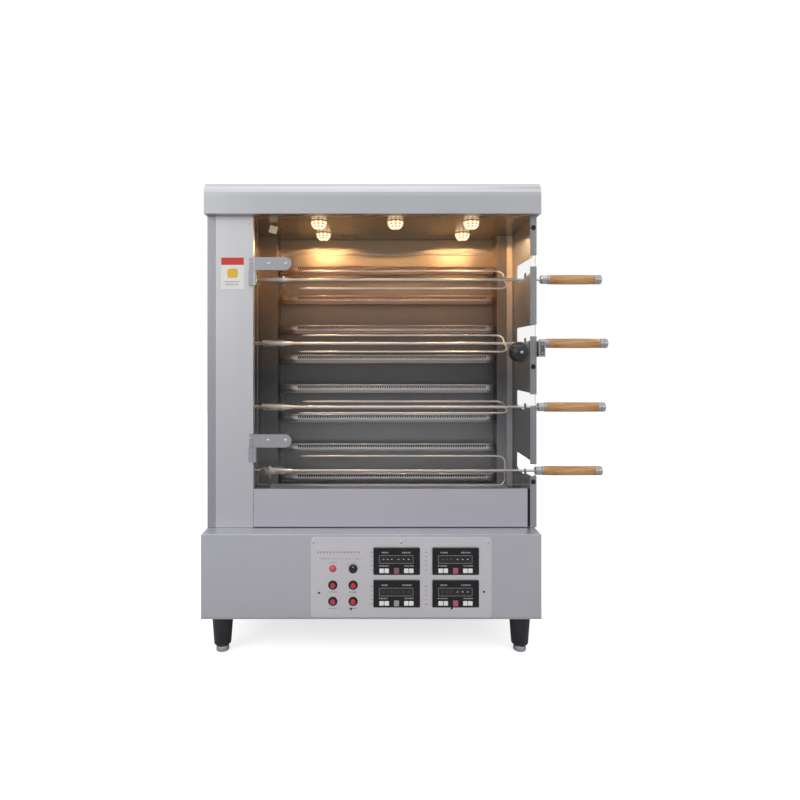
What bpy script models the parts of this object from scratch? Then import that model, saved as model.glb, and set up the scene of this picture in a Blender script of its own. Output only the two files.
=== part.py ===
"""A four-spit rotisserie oven: steel cabinet, glass door, heaters, lamps, drives and controls."""

import math

import bmesh
import bpy
from mathutils import Vector

# Driving dimensions in metres. X runs across the cabinet from its middle, Y back from the
# body's front face, and Z up from the floor.
SHEET = 0.002
GAP = 0.0003
BODY_LEFT = -0.500
BODY_RIGHT = 0.505
BODY_BACK = 0.458
BODY_TOP = 1.307
BASE_HALF = 0.500
BASE_FRONT = -0.070
BASE_BACK = 0.460
BASE_BOTTOM = 0.108
FLOOR_TOP = 0.111
BASE_TOP = 0.356
HOOD_LEFT = -0.503
HOOD_RIGHT = 0.511
HOOD_FRONT = -0.029
HOOD_SHOULDER = 1.362
HOOD_TOP = 1.403
HOOD_ROUND_DEPTH = 0.031
COLUMN_SEAM = -0.475
COLUMN_EDGE = -0.360
COLUMN_RETURN = 0.024
CAVITY_LEFT = -0.396
CAVITY_BACK = 0.380
LEFT_PILASTER = -0.334
RIGHT_PILASTER = 0.449
PILASTER_FOLD = 0.483
PILASTER_FRONT = 0.303
PILASTER_LEAN = 0.010
LINER_END = 0.5015
FLANGE_WIDTH = 0.020
REAR_FLANGE = 0.015

VENT_COLUMNS = (-0.380, 0.330)
VENT_ROWS = 6
VENT_LOW = 1.100
VENT_PITCH = 0.024
VENT_HALF = 0.060
VENT_HEIGHT = 0.008

FOOT_X = 0.445
FOOT_Y = (-0.030, 0.420)
FOOT_TOP_RADIUS = 0.032
FOOT_LOW_RADIUS = 0.025
NUB_RADIUS = 0.019
NUB_HEIGHT = 0.021

SPIT_Y = 0.178
SPIT_Z = (1.135, 0.9217, 0.7083, 0.495)
SPIT_ROLL = (43.0, 35.0, 18.0, 90.0)
ROD_RADIUS = 0.005
SLEEVE_START = -0.364
SLEEVE_END = -0.294
SLEEVE_RADIUS = 0.0115
SOCKET_RADIUS = 0.0072
SOCKET_DEPTH = 0.034
TAPER_END = -0.258
FORK_HALF = 0.049
FORK_WIRE = 0.003
FORK_BOW = 0.448
FORK_TIP = -0.238
FORK_CORNER = 0.022
WOOD_START = (0.594, 0.590, 0.584, 0.576)
WOOD_LENGTH = (0.151, 0.176, 0.174, 0.172)
WOOD_RADIUS = 0.016
FERRULE_LENGTH = 0.028
CAP_LENGTH = 0.022
NUT_RADIUS = 0.006

SHAFT_RADIUS = 0.006
SHAFT_START = -0.408
SHAFT_END = -0.3755
TONGUE_END = -0.345
TONGUE_RADIUS = 0.0062
TONGUE_HALF = 0.0035
SHAFT_HOLE = 0.009
MOTOR_BORE = 0.0065
GEARBOX_LEFT = -0.432
MOTOR_LEFT = -0.492
GEARBOX_HALF = 0.030
MOTOR_RADIUS = 0.024

HEATER_LEFT = -0.327
HEATER_RIGHT = 0.442
HEATER_FRONT = 0.325
HEATER_DEPTH = 0.020
HEATER_HALF = 0.0155
HEATER_OFFSET = 0.0533

LAMPS = ((-0.166, 0.075), (0.077, 0.075), (0.318, 0.075), (-0.166, 0.260), (0.318, 0.260))
LAMP_RADIUS = 0.0265
LAMP_DROP = 0.026
LAMP_NECK = 0.013

DOOR_LEFT = -0.345
DOOR_RIGHT = 0.498
DOOR_LOW = 0.489
DOOR_TOP = 1.300
DOOR_FRONT = -0.014
DOOR_BACK = -0.008
DOOR_CORNER = 0.006
HINGE_X = -0.353
HINGE_Y = -0.011
PIN_RADIUS = 0.003
KNUCKLE_RADIUS = 0.0065
CLAMP_RIGHT = -0.241
CLAMP_HEIGHT = 0.0395
CLAMP_LOWS = (1.139, 0.603)
BRACKET_HEIGHT = 0.045
KNOB_X = 0.439
KNOB_Y = -0.050
KNOB_Z = 0.891
KNOB_RADIUS = 0.031
CATCH_RIGHT = 0.527
CATCH_FRONT = -0.016
CATCH_BACK = 0.030
CATCH_Z = 0.901
CATCH_HALF = 0.024

DRAWER_LEFT = -0.3592
DRAWER_RIGHT = 0.477
DRAWER_LOW = 0.3585
DRAWER_TOP = 0.474
TRAY_TOP = 0.425
TRAY_BACK = 0.298

PANEL_LEFT = -0.177
PANEL_RIGHT = 0.353
PANEL_LOW = 0.1135
PANEL_HIGH = 0.349
PANEL_CORNER = 0.012
PANEL_BACK = BASE_FRONT - GAP
PANEL_FRONT = PANEL_BACK - SHEET
CONTROLLER_X = (0.0745, 0.2470)
CONTROLLER_Z = (0.2793, 0.1842)
CONTROLLER_SIZE = (0.136, 0.0786)
CONTROLLER_STEP = 0.006
CONTROLLER_DEPTH = 0.080
BUTTON_X = (-0.1125, -0.053)
BUTTON_Z = (0.2088, 0.1613)
BUTTON_RADIUS = 0.008
SELECTOR_Z = 0.2570
SELECTOR_RADIUS = 0.013
SELECTOR_FRONT = -0.0805
GLAND_X = -0.380
GLAND_Z = 0.180
GLAND_END = 0.482

# The whole part is centred on its box, so this is where the cabinet's middle lands.
RIGHT_MOST = max(start + length for start, length in zip(WOOD_START, WOOD_LENGTH)) + FERRULE_LENGTH
CENTRE_X = (HOOD_LEFT + RIGHT_MOST) / 2
CENTRE_Y = (KNOB_Y - KNOB_RADIUS + GLAND_END) / 2

AXES = {
    "X": (Vector((1, 0, 0)), Vector((0, 1, 0)), Vector((0, 0, 1))),
    "Y": (Vector((0, 1, 0)), Vector((1, 0, 0)), Vector((0, 0, 1))),
    "Z": (Vector((0, 0, 1)), Vector((1, 0, 0)), Vector((0, 1, 0))),
}
looks = {}


def clear_scene():
    for thing in list(bpy.data.objects):
        bpy.data.objects.remove(thing, do_unlink=True)


def add_frame():
    """The empty that carries the cabinet's coordinates into the part's own frame."""
    empty = bpy.data.objects.new("cabinet_frame", None)
    empty.location = (-CENTRE_X, -CENTRE_Y, 0)
    bpy.context.scene.collection.objects.link(empty)
    return empty


def look(name, colour, roughness, metallic):
    if name not in looks:
        made = bpy.data.materials.new(name)
        made.use_nodes = True
        shader = made.node_tree.nodes["Principled BSDF"]
        shader.inputs["Base Color"].default_value = (*colour, 1)
        shader.inputs["Roughness"].default_value = roughness
        shader.inputs["Metallic"].default_value = metallic
        looks[name] = made
    return looks[name]


def loft(rings):
    """Joins successive rings of points into one closed skin; a ring of one point is a pole."""
    shape = bmesh.new()
    loops = [[shape.verts.new(point) for point in ring] for ring in rings]
    for first, second in zip(loops, loops[1:]):
        count = max(len(first), len(second))
        for i in range(count):
            j = (i + 1) % count
            corners = (first[i % len(first)], first[j % len(first)], second[j % len(second)],
                       second[i % len(second)])
            shape.faces.new(list(dict.fromkeys(corners)))
    for end in (loops[0], loops[-1]):
        if len(end) > 2:
            shape.faces.new(end)
    bmesh.ops.recalc_face_normals(shape, faces=shape.faces)
    return shape


def extruded(outline, axis, start, end):
    """An outline of (across, up) pairs carried along an axis."""
    along, side, up = AXES[axis]
    return loft([[along * at + side * u + up * v for u, v in outline] for at in (start, end)])


def rectangle(low, high):
    return [(low[0], low[1]), (high[0], low[1]), (high[0], high[1]), (low[0], high[1])]


def rounded_rectangle(low, high, radius, steps=4):
    outline = []
    corners = ((high[0], high[1], 0), (low[0], high[1], 90), (low[0], low[1], 180), (high[0], low[1], 270))
    for x, y, first in corners:
        inward_x = -1 if x == high[0] else 1
        inward_y = -1 if y == high[1] else 1
        for step in range(steps + 1):
            turn = math.radians(first + 90 * step / steps)
            across = x + inward_x * radius + radius * math.cos(turn)
            outline.append((across, y + inward_y * radius + radius * math.sin(turn)))
    return outline


def block(low, high):
    return extruded(rectangle(low[:2], high[:2]), "Z", low[2], high[2])


def folded(path, axis, start, end, thickness=SHEET):
    """A folded sheet: its outer side follows the path and its thickness lies to the path's left."""
    points = [Vector(point) for point in path]
    normals = []
    for first, second in zip(points, points[1:]):
        run = (second - first).normalized()
        normals.append(Vector((-run.y, run.x)))
    inner = []
    for i, point in enumerate(points):
        before = normals[max(i - 1, 0)]
        after = normals[min(i, len(normals) - 1)]
        inner.append(point + (before + after) * (thickness / (1 + before.dot(after))))
    return extruded([tuple(point) for point in points + inner[::-1]], axis, start, end)


def circle(centre, axis, radius, segments):
    along, side, up = AXES[axis]
    turns = [2 * math.pi * i / segments for i in range(segments)]
    return [centre + side * (radius * math.cos(turn)) + up * (radius * math.sin(turn)) for turn in turns]


def turned(centre, axis, profile, segments=16):
    """A turned piece; the profile lists (place along the axis, radius) from end to end."""
    rings = []
    for place, radius in profile:
        point = Vector(centre) + AXES[axis][0] * place
        rings.append(circle(point, axis, radius, segments) if radius else [point])
    return loft(rings)


def add_part(name, shape, surface, origin=(0, 0, 0)):
    """One named sub-part, with its origin where it turns or slides."""
    data = bpy.data.meshes.new(name)
    bmesh.ops.translate(shape, verts=shape.verts, vec=-Vector(origin))
    shape.to_mesh(data)
    shape.free()
    data.shade_smooth()
    data.set_sharp_from_angle(angle=math.radians(35))
    data.materials.append(surface)
    part = bpy.data.objects.new(name, data)
    part.location = origin
    part.parent = frame
    bpy.context.scene.collection.objects.link(part)
    return part


def combine(part, shape, operation):
    """Cuts or joins a shape into a part with an exact Boolean; the tool itself stays hidden."""
    data = bpy.data.meshes.new(f"{part.name}_tool")
    shape.to_mesh(data)
    shape.free()
    tool = bpy.data.objects.new(f"{part.name}_tool", data)
    tool.parent = frame
    tool.hide_render = True
    tool.display_type = "WIRE"
    bpy.context.scene.collection.objects.link(tool)
    modifier = part.modifiers.new(operation.title(), "BOOLEAN")
    modifier.operation = operation
    modifier.solver = "EXACT"
    modifier.object = tool


def cut(part, shape):
    combine(part, shape, "DIFFERENCE")


def join(part, shape):
    combine(part, shape, "UNION")


def add_base():
    housing = add_part(
        "base_housing",
        block((-BASE_HALF, BASE_FRONT, FLOOR_TOP + GAP), (BASE_HALF, BASE_BACK, BASE_TOP)),
        brushed,
    )
    inner = BASE_HALF - SHEET
    cut(housing,
        block((-inner, BASE_FRONT + SHEET, BASE_BOTTOM), (inner, BASE_BACK - SHEET, BASE_TOP - SHEET)))
    margin = 0.012
    window_low = (PANEL_LEFT + margin, BASE_FRONT - 0.01, PANEL_LOW + margin)
    window_high = (PANEL_RIGHT - margin, BASE_FRONT + 0.01, PANEL_HIGH - margin)
    cut(housing, block(window_low, window_high))
    floor = block((-BASE_HALF, BASE_FRONT, BASE_BOTTOM), (BASE_HALF, BASE_BACK, FLOOR_TOP))
    add_part("base_floor_plate", floor, brushed)
    gland_profile = ((0.466, 0), (0.466, 0.006), (GLAND_END, 0.006), (GLAND_END, 0.010), (0.472, 0.012),
                     (0.472, 0.014), (BASE_BACK + GAP, 0.014), (BASE_BACK + GAP, 0))
    add_part("cable_gland", turned((GLAND_X, 0, GLAND_Z), "Y", gland_profile), black)


def add_feet():
    top = BASE_BOTTOM - GAP
    profile = ((top, 0), (top, FOOT_TOP_RADIUS), (top - 0.012, FOOT_TOP_RADIUS),
               (NUB_HEIGHT, FOOT_LOW_RADIUS),
               (NUB_HEIGHT, NUB_RADIUS), (0.002, NUB_RADIUS), (0, NUB_RADIUS - 0.002), (0, 0))
    for depth, y in zip(("front", "rear"), FOOT_Y):
        for side, x in (("left", -FOOT_X), ("right", FOOT_X)):
            add_part(f"foot_{depth}_{side}", turned((x, y, 0), "Z", profile, 20), black)


def add_body_panels():
    low = BASE_TOP + GAP
    high = BODY_TOP - GAP
    side_path = ((BODY_LEFT + REAR_FLANGE, BODY_BACK), (BODY_LEFT, BODY_BACK), (BODY_LEFT, 0),
                 (COLUMN_SEAM - GAP, 0))
    add_part("left_side_panel", folded(side_path, "Z", low, high), brushed)
    front_path = ((COLUMN_SEAM, 0), (COLUMN_EDGE, 0), (COLUMN_EDGE, COLUMN_RETURN))
    add_part("column_front_panel", folded(front_path, "Z", low, high), brushed)
    jog = COLUMN_RETURN + SHEET + GAP
    wall_path = ((COLUMN_EDGE, jog), (CAVITY_LEFT, jog), (CAVITY_LEFT, CAVITY_BACK - GAP))
    wall = add_part("inner_left_wall", folded(wall_path, "Z", low, high), polished)
    for z in SPIT_Z:
        span = ((CAVITY_LEFT - 0.01, 0), (CAVITY_LEFT - 0.01, SHAFT_HOLE), (CAVITY_LEFT + 0.01, SHAFT_HOLE),
                (CAVITY_LEFT + 0.01, 0))
        cut(wall, turned((0, SPIT_Y, z), "X", span))
    liner_path = ((CAVITY_LEFT + GAP, PILASTER_FRONT), (LEFT_PILASTER, PILASTER_FRONT),
                  (LEFT_PILASTER, CAVITY_BACK),
                  (RIGHT_PILASTER, CAVITY_BACK), (RIGHT_PILASTER, PILASTER_FRONT),
                  (PILASTER_FOLD, PILASTER_FRONT),
                  (LINER_END, PILASTER_FRONT - PILASTER_LEAN))
    add_part("back_wall", folded(liner_path, "Z", low, high), polished)


def add_right_wall():
    """One folded sheet with a notch for each spit, open at the front so a spit lifts out."""
    path = ((BODY_RIGHT - FLANGE_WIDTH, 0), (BODY_RIGHT, 0), (BODY_RIGHT, BODY_BACK),
            (BODY_RIGHT - REAR_FLANGE, BODY_BACK))
    wall = add_part("right_side_wall", folded(path, "Z", BASE_TOP + GAP, BODY_TOP - GAP), brushed)
    seat = -(ROD_RADIUS + GAP)
    notch = ((-0.02, 0.054), (0.232, 0.054), (0.237, 0.049), (0.237, 0.005), (0.200, seat), (0.144, seat),
             (0.141, 0.016), (0.122, 0.016), (0.116, 0.003), (0.028, 0.010), (0.026, 0.018), (-0.02, 0.018))
    for z in SPIT_Z:
        outline = [(y, z + rise) for y, rise in notch]
        cut(wall, extruded(outline, "X", BODY_RIGHT - FLANGE_WIDTH - 0.005, BODY_RIGHT + 0.005))


def add_rear_cover():
    cover = add_part(
        "rear_cover",
        block((BODY_LEFT, BODY_BACK + GAP, BASE_TOP + GAP), (BODY_RIGHT, BODY_BACK + SHEET, BODY_TOP - GAP)),
        brushed,
    )
    for column in VENT_COLUMNS:
        for row in range(VENT_ROWS):
            z = VENT_LOW + row * VENT_PITCH
            slot_low = (column - VENT_HALF, BODY_BACK - 0.01, z)
            cut(cover, block(slot_low, (column + VENT_HALF, BODY_BACK + 0.01, z + VENT_HEIGHT)))


def add_ceiling():
    low = (BODY_LEFT + 0.0015, 0.0005, BODY_TOP + GAP)
    high = (BODY_RIGHT - 0.0015, BODY_BACK - 0.0005, BODY_TOP + GAP + SHEET)
    ceiling = add_part("ceiling_panel", block(low, high), polished)
    for i, (x, y) in enumerate(LAMPS):
        hole = LAMP_NECK + 0.0015
        cut(ceiling, turned((x, y, BODY_TOP), "Z", ((-0.01, 0), (-0.01, hole), (0.01, hole), (0.01, 0))))
        profile = ((0.020, 0), (0.020, LAMP_NECK), (0, LAMP_NECK), (0, LAMP_RADIUS), (-0.003, LAMP_RADIUS),
                   (-0.010, LAMP_RADIUS - 0.0015), (-0.018, LAMP_RADIUS - 0.006),
                   (-0.024, LAMP_RADIUS - 0.014),
                   (-LAMP_DROP, 0))
        add_part(f"lamp_{i + 1}", turned((x, y, BODY_TOP), "Z", profile), lamp_glass)


def hood_outline(inset, bottom, lip):
    """The hood's side view; the lip turns in under its front edge."""
    front = HOOD_FRONT + inset
    top = HOOD_TOP - inset
    depth = HOOD_ROUND_DEPTH
    rise = top - HOOD_SHOULDER
    outline = [(lip, bottom)]
    if inset:
        outline += [(lip, BODY_TOP + inset), (front, BODY_TOP + inset)]
    steps = 6
    for step in range(steps + 1):
        turn = math.pi / 2 * step / steps
        outline.append((front + depth * (1 - math.cos(turn)), HOOD_SHOULDER + rise * math.sin(turn)))
    return outline + [(BASE_BACK - inset, top), (BASE_BACK - inset, bottom)]


def add_hood():
    hood = add_part("hood", extruded(hood_outline(0, BODY_TOP, HOOD_FRONT), "X", HOOD_LEFT, HOOD_RIGHT),
                    brushed)
    hollow = hood_outline(SHEET, BODY_TOP - 0.02, -0.001)
    cut(hood, extruded(hollow, "X", HOOD_LEFT + SHEET, HOOD_RIGHT - SHEET))


def add_drawer():
    front_path = ((0.014, DRAWER_TOP), (0, DRAWER_TOP), (0, DRAWER_LOW))
    origin = (0, 0, DRAWER_LOW)
    drawer = add_part("drip_drawer", folded(front_path, "X", DRAWER_LEFT, DRAWER_RIGHT), brushed, origin)
    left = DRAWER_LEFT + 0.007
    right = DRAWER_RIGHT - 0.007
    join(drawer, block((left, 0.001, DRAWER_LOW), (right, TRAY_BACK, TRAY_TOP)))
    hollow_low = (left + SHEET, 0.003, DRAWER_LOW + SHEET)
    cut(drawer, block(hollow_low, (right - SHEET, TRAY_BACK - SHEET, TRAY_TOP + 0.04)))


def add_heater_bank(index, z):
    """Two guarded elements on a pair of wall brackets, one bank behind each spit."""
    upper = z + HEATER_OFFSET
    lower = z - HEATER_OFFSET
    wall = CAVITY_BACK - GAP
    foot = wall - 0.003
    arm = 0.010
    tip = HEATER_FRONT + 0.001
    outline = ((wall, lower - arm), (wall, upper + arm), (tip, upper + arm), (tip, upper - arm),
               (foot, upper - arm), (foot, lower + arm), (tip, lower + arm), (tip, lower - arm))
    bank = add_part(f"heater_bank_{index}",
                    extruded(outline, "X", HEATER_LEFT + 0.004, HEATER_LEFT + 0.024), polished)
    join(bank, extruded(outline, "X", HEATER_RIGHT - 0.024, HEATER_RIGHT - 0.004))
    rear = HEATER_FRONT + HEATER_DEPTH
    for centre in (upper, lower):
        guard = ((rear, centre + HEATER_HALF), (HEATER_FRONT, centre + HEATER_HALF),
                 (HEATER_FRONT, centre - HEATER_HALF), (rear, centre - HEATER_HALF))
        join(bank, folded(guard, "X", HEATER_LEFT, HEATER_RIGHT, 0.0015))
        element = ((HEATER_LEFT + 0.006, 0), (HEATER_LEFT + 0.006, 0.004), (HEATER_RIGHT - 0.006, 0.004),
                   (HEATER_RIGHT - 0.006, 0))
        join(bank, turned((0, HEATER_FRONT + 0.012, centre), "X", element, 10))


def fork_shape(z, roll):
    """A bent wire with two pointed prongs; its bow crosses the rod at the handle end."""
    turn = math.radians(roll)
    out = Vector((0, -math.cos(turn), -math.sin(turn)))
    normal = Vector((1, 0, 0)).cross(out)
    centre = Vector((0, SPIT_Y, z))
    bend = FORK_BOW - FORK_CORNER
    spread = FORK_HALF - FORK_CORNER
    route = [(FORK_TIP, FORK_HALF, 0, 0.0006), (FORK_TIP + 0.022, FORK_HALF, 0, FORK_WIRE)]
    steps = 5
    for step in range(steps + 1):
        angle = 90 * step / steps
        x = bend + FORK_CORNER * math.sin(math.radians(angle))
        route.append((x, spread + FORK_CORNER * math.cos(math.radians(angle)), angle, FORK_WIRE))
    for x, offset, angle, radius in reversed(route[:]):
        route.append((x, -offset, 180 - angle, radius))
    rings = []
    for x, offset, angle, radius in route:
        point = centre + Vector((x, 0, 0)) + out * offset
        heading = math.radians(angle)
        side = Vector((math.sin(heading), 0, 0)) + out * math.cos(heading)
        spokes = [2 * math.pi * i / 8 for i in range(8)]
        rings.append([point + side * (radius * math.cos(a)) + normal * (radius * math.sin(a))
                      for a in spokes])
    return loft(rings)


def add_spit(index, z, roll, wood_start, wood_length):
    number = index + 1
    axis_point = (0, SPIT_Y, z)
    socket_floor = SLEEVE_START + SOCKET_DEPTH
    rod_end = wood_start - FERRULE_LENGTH - GAP
    rod = ((socket_floor, 0), (socket_floor, SOCKET_RADIUS), (SLEEVE_START, SOCKET_RADIUS),
           (SLEEVE_START, SLEEVE_RADIUS), (SLEEVE_END, SLEEVE_RADIUS), (TAPER_END, ROD_RADIUS),
           (rod_end, ROD_RADIUS), (rod_end, 0))
    spit = add_part(f"spit_{number}", turned(axis_point, "X", rod), polished, axis_point)
    join(spit, fork_shape(z, roll))
    ferrule_start = wood_start - FERRULE_LENGTH
    wood_end = wood_start + wood_length
    ferrule_radius = WOOD_RADIUS - 0.003
    handle = ((ferrule_start, 0), (ferrule_start, ferrule_radius), (wood_start, ferrule_radius),
              (wood_start, WOOD_RADIUS - 0.001), (wood_start + 0.004, WOOD_RADIUS),
              (wood_end - 0.004, WOOD_RADIUS), (wood_end, WOOD_RADIUS - 0.001),
              (wood_end + CAP_LENGTH, WOOD_RADIUS - 0.001), (wood_end + CAP_LENGTH + 0.002, WOOD_RADIUS - 0.004),
              (wood_end + CAP_LENGTH + 0.002, NUT_RADIUS), (wood_end + FERRULE_LENGTH, NUT_RADIUS),
              (wood_end + FERRULE_LENGTH, 0))
    add_part(f"spit_handle_{number}", turned(axis_point, "X", handle), wood, axis_point)
    shaft = ((SHAFT_START, 0), (SHAFT_START, SHAFT_RADIUS), (SHAFT_END, SHAFT_RADIUS),
             (SHAFT_END, TONGUE_RADIUS), (TONGUE_END, TONGUE_RADIUS), (TONGUE_END, 0))
    driver = add_part(f"drive_shaft_{number}", turned(axis_point, "X", shaft), polished, axis_point)
    for side in (-1, 1):
        flat = TONGUE_HALF * side
        edge = 0.012 * side
        low = (SHAFT_END, SPIT_Y + min(flat, edge), z - 0.010)
        cut(driver, block(low, (TONGUE_END + 0.010, SPIT_Y + max(flat, edge), z + 0.010)))


def add_gear_motor(number, z):
    """A gearbox on the inner wall with its motor behind it, inside the column."""
    half = GEARBOX_HALF
    face = CAVITY_LEFT - SHEET - GAP
    motor = add_part(
        f"gear_motor_{number}",
        block((GEARBOX_LEFT, SPIT_Y - half, z - half), (face, SPIT_Y + half, z + half)),
        steel,
    )
    can_end = GEARBOX_LEFT + 0.004
    can = ((MOTOR_LEFT, 0), (MOTOR_LEFT, MOTOR_RADIUS), (can_end, MOTOR_RADIUS), (can_end, 0))
    join(motor, turned((0, SPIT_Y, z), "X", can))
    bore_floor = SHAFT_START - GAP
    bore = ((bore_floor, 0), (bore_floor, MOTOR_BORE), (face + 0.01, MOTOR_BORE), (face + 0.01, 0))
    cut(motor, turned((0, SPIT_Y, z), "X", bore))


def add_door():
    glass_outline = rounded_rectangle((DOOR_LEFT, DOOR_LOW), (DOOR_RIGHT, DOOR_TOP), DOOR_CORNER, 3)
    hinge = (HINGE_X, HINGE_Y, DOOR_LOW)
    door = add_part("door_glass", extruded(glass_outline, "Y", DOOR_FRONT, DOOR_BACK), clear_glass, hinge)
    hole = ((DOOR_FRONT - 0.01, 0), (DOOR_FRONT - 0.01, 0.005), (DOOR_BACK + 0.01, 0.005),
            (DOOR_BACK + 0.01, 0))
    cut(door, turned((KNOB_X, 0, KNOB_Z), "Y", hole))
    add_knob()
    for place, low in zip(("upper", "lower"), CLAMP_LOWS):
        add_hinge(place, low)


def add_knob():
    """A ball on a short stud that passes through the glass into a round nut."""
    steps = 9
    ball = [(KNOB_Y - KNOB_RADIUS, 0)]
    for step in range(1, steps):
        turn = math.pi * step / steps
        ball.append((KNOB_Y - KNOB_RADIUS * math.cos(turn), KNOB_RADIUS * math.sin(turn)))
    neck = DOOR_FRONT - GAP
    ball += [(KNOB_Y + KNOB_RADIUS * 0.985, 0.008), (neck, 0.008), (neck, 0.004), (DOOR_BACK + 0.005, 0.004),
             (DOOR_BACK + 0.005, 0)]
    add_part("door_knob", turned((KNOB_X, 0, KNOB_Z), "Y", ball, 20), black, (KNOB_X, KNOB_Y, KNOB_Z))


def add_hinge(place, low):
    """A clamp on the glass turns on a pin that stands up from a bracket on the column."""
    high = low + CLAMP_HEIGHT
    barrel_low = low + GAP
    middle = (low + high) / 2
    round_end = CLAMP_HEIGHT / 2
    outline = [(HINGE_X, low), (CLAMP_RIGHT - round_end, low)]
    for step in range(1, 8):
        turn = math.radians(-90 + 180 * step / 8)
        outline.append((CLAMP_RIGHT - round_end + round_end * math.cos(turn),
                        middle + round_end * math.sin(turn)))
    outline += [(CLAMP_RIGHT - round_end, high), (HINGE_X, high)]
    front = DOOR_FRONT - GAP
    clamp = add_part(
        f"hinge_clamp_{place}", extruded(outline, "Y", front - 0.003, front), steel, (HINGE_X, HINGE_Y, low)
    )
    back = DOOR_BACK + GAP
    join(clamp, extruded(outline, "Y", back, back + 0.003))
    barrel = ((barrel_low, 0), (barrel_low, KNUCKLE_RADIUS), (high - GAP, KNUCKLE_RADIUS), (high - GAP, 0))
    join(clamp, turned((HINGE_X, HINGE_Y, 0), "Z", barrel))
    bore = ((low - 0.01, 0), (low - 0.01, PIN_RADIUS + 0.0004), (high - 0.008, PIN_RADIUS + 0.0004),
            (high - 0.008, 0))
    cut(clamp, turned((HINGE_X, HINGE_Y, 0), "Z", bore))
    bracket_low = low - BRACKET_HEIGHT
    knuckle_top = low - GAP
    post = ((bracket_low, 0), (bracket_low, KNUCKLE_RADIUS), (knuckle_top, KNUCKLE_RADIUS),
            (knuckle_top, PIN_RADIUS),
            (high - 0.009, PIN_RADIUS), (high - 0.009, 0))
    bracket = add_part(f"hinge_bracket_{place}", turned((HINGE_X, HINGE_Y, 0), "Z", post), steel)
    left = COLUMN_EDGE - 0.012
    half = 0.002
    join(bracket, block((left, HINGE_Y - half, bracket_low), (HINGE_X, HINGE_Y + half, knuckle_top)))
    join(bracket, block((left, HINGE_Y - half, bracket_low), (left + 0.005, -0.003, knuckle_top)))
    join(bracket, block((left, -0.0035, bracket_low), (COLUMN_EDGE - 0.0005, -GAP, high)))


def add_catch():
    """A bent plate on the right wall that holds the door's magnet block."""
    x = BODY_RIGHT + GAP + SHEET
    path = ((x, CATCH_BACK), (x, CATCH_FRONT), (CATCH_RIGHT, CATCH_FRONT))
    shape = folded(path, "Z", CATCH_Z - CATCH_HALF, CATCH_Z + CATCH_HALF)
    add_part("door_catch", shape, steel)


def add_control_panel():
    outline = rounded_rectangle((PANEL_LEFT, PANEL_LOW), (PANEL_RIGHT, PANEL_HIGH), PANEL_CORNER)
    panel = add_part("control_panel", extruded(outline, "Y", PANEL_FRONT, PANEL_BACK), brushed)
    through = (PANEL_FRONT - 0.01, PANEL_BACK + 0.01)
    number = 0
    for z in CONTROLLER_Z:
        for x in CONTROLLER_X:
            number += 1
            half_x = CONTROLLER_SIZE[0] / 2
            half_z = CONTROLLER_SIZE[1] / 2
            face = rectangle((x - half_x, z - half_z), (x + half_x, z + half_z))
            inner_x = half_x - CONTROLLER_STEP
            inner_z = half_z - CONTROLLER_STEP
            body = rectangle((x - inner_x, z - inner_z), (x + inner_x, z + inner_z))
            window = rectangle((x - inner_x - 0.001, z - inner_z - 0.001),
                               (x + inner_x + 0.001, z + inner_z + 0.001))
            cut(panel, extruded(window, "Y", *through))
            places = ((PANEL_FRONT - GAP - 0.005, face), (PANEL_FRONT - GAP, face), (PANEL_FRONT - GAP, body),
                      (PANEL_FRONT + CONTROLLER_DEPTH, body))
            rings = [[Vector((u, y, v)) for u, v in ring] for y, ring in places]
            add_part(f"controller_{number}", loft(rings), black)
    number = 0
    for z in BUTTON_Z:
        for x in BUTTON_X:
            number += 1
            cut_round(panel, x, z, BUTTON_RADIUS + 0.0005, through)
            behind = PANEL_BACK + GAP
            cap = ((PANEL_FRONT - 0.008, 0), (PANEL_FRONT - 0.008, BUTTON_RADIUS - 0.001),
                   (PANEL_FRONT - 0.007, BUTTON_RADIUS), (behind, BUTTON_RADIUS),
                   (behind, BUTTON_RADIUS + 0.002),
                   (behind + 0.002, BUTTON_RADIUS + 0.002), (behind + 0.002, 0))
            shape = turned((x, 0, z), "Y", cap)
            add_part(f"push_button_{number}", shape, red, (x, PANEL_FRONT, z))
    add_selector(panel, through)


def cut_round(panel, x, z, radius, through):
    cut(panel,
        turned((x, 0, z), "Y",
               ((through[0], 0), (through[0], radius), (through[1], radius), (through[1], 0))))


def add_selector(panel, through):
    x = BUTTON_X[1]
    cut_round(panel, x, SELECTOR_Z, 0.0045, through)
    seat = PANEL_FRONT - GAP
    dial = ((SELECTOR_FRONT + 0.003, 0), (SELECTOR_FRONT + 0.003, SELECTOR_RADIUS - 0.001),
            (SELECTOR_FRONT + 0.004, SELECTOR_RADIUS), (seat, SELECTOR_RADIUS), (seat, 0.004),
            (PANEL_BACK + 0.012, 0.004), (PANEL_BACK + 0.012, 0))
    knob = add_part("selector_knob", turned((x, 0, SELECTOR_Z), "Y", dial), black,
                    (x, PANEL_FRONT, SELECTOR_Z))
    ridge_low = (x - 0.0025, SELECTOR_FRONT, SELECTOR_Z - 0.011)
    join(knob, block(ridge_low, (x + 0.0025, SELECTOR_FRONT + 0.005, SELECTOR_Z + 0.011)))
    cut_round(panel, BUTTON_X[0], SELECTOR_Z, 0.0065, through)
    lens = ((PANEL_FRONT - 0.006, 0), (PANEL_FRONT - 0.005, 0.005), (PANEL_FRONT - 0.003, 0.008),
            (seat, 0.010),
            (seat, 0.006), (PANEL_BACK + 0.015, 0.006), (PANEL_BACK + 0.015, 0))
    add_part("power_indicator", turned((BUTTON_X[0], 0, SELECTOR_Z), "Y", lens), red)


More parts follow.
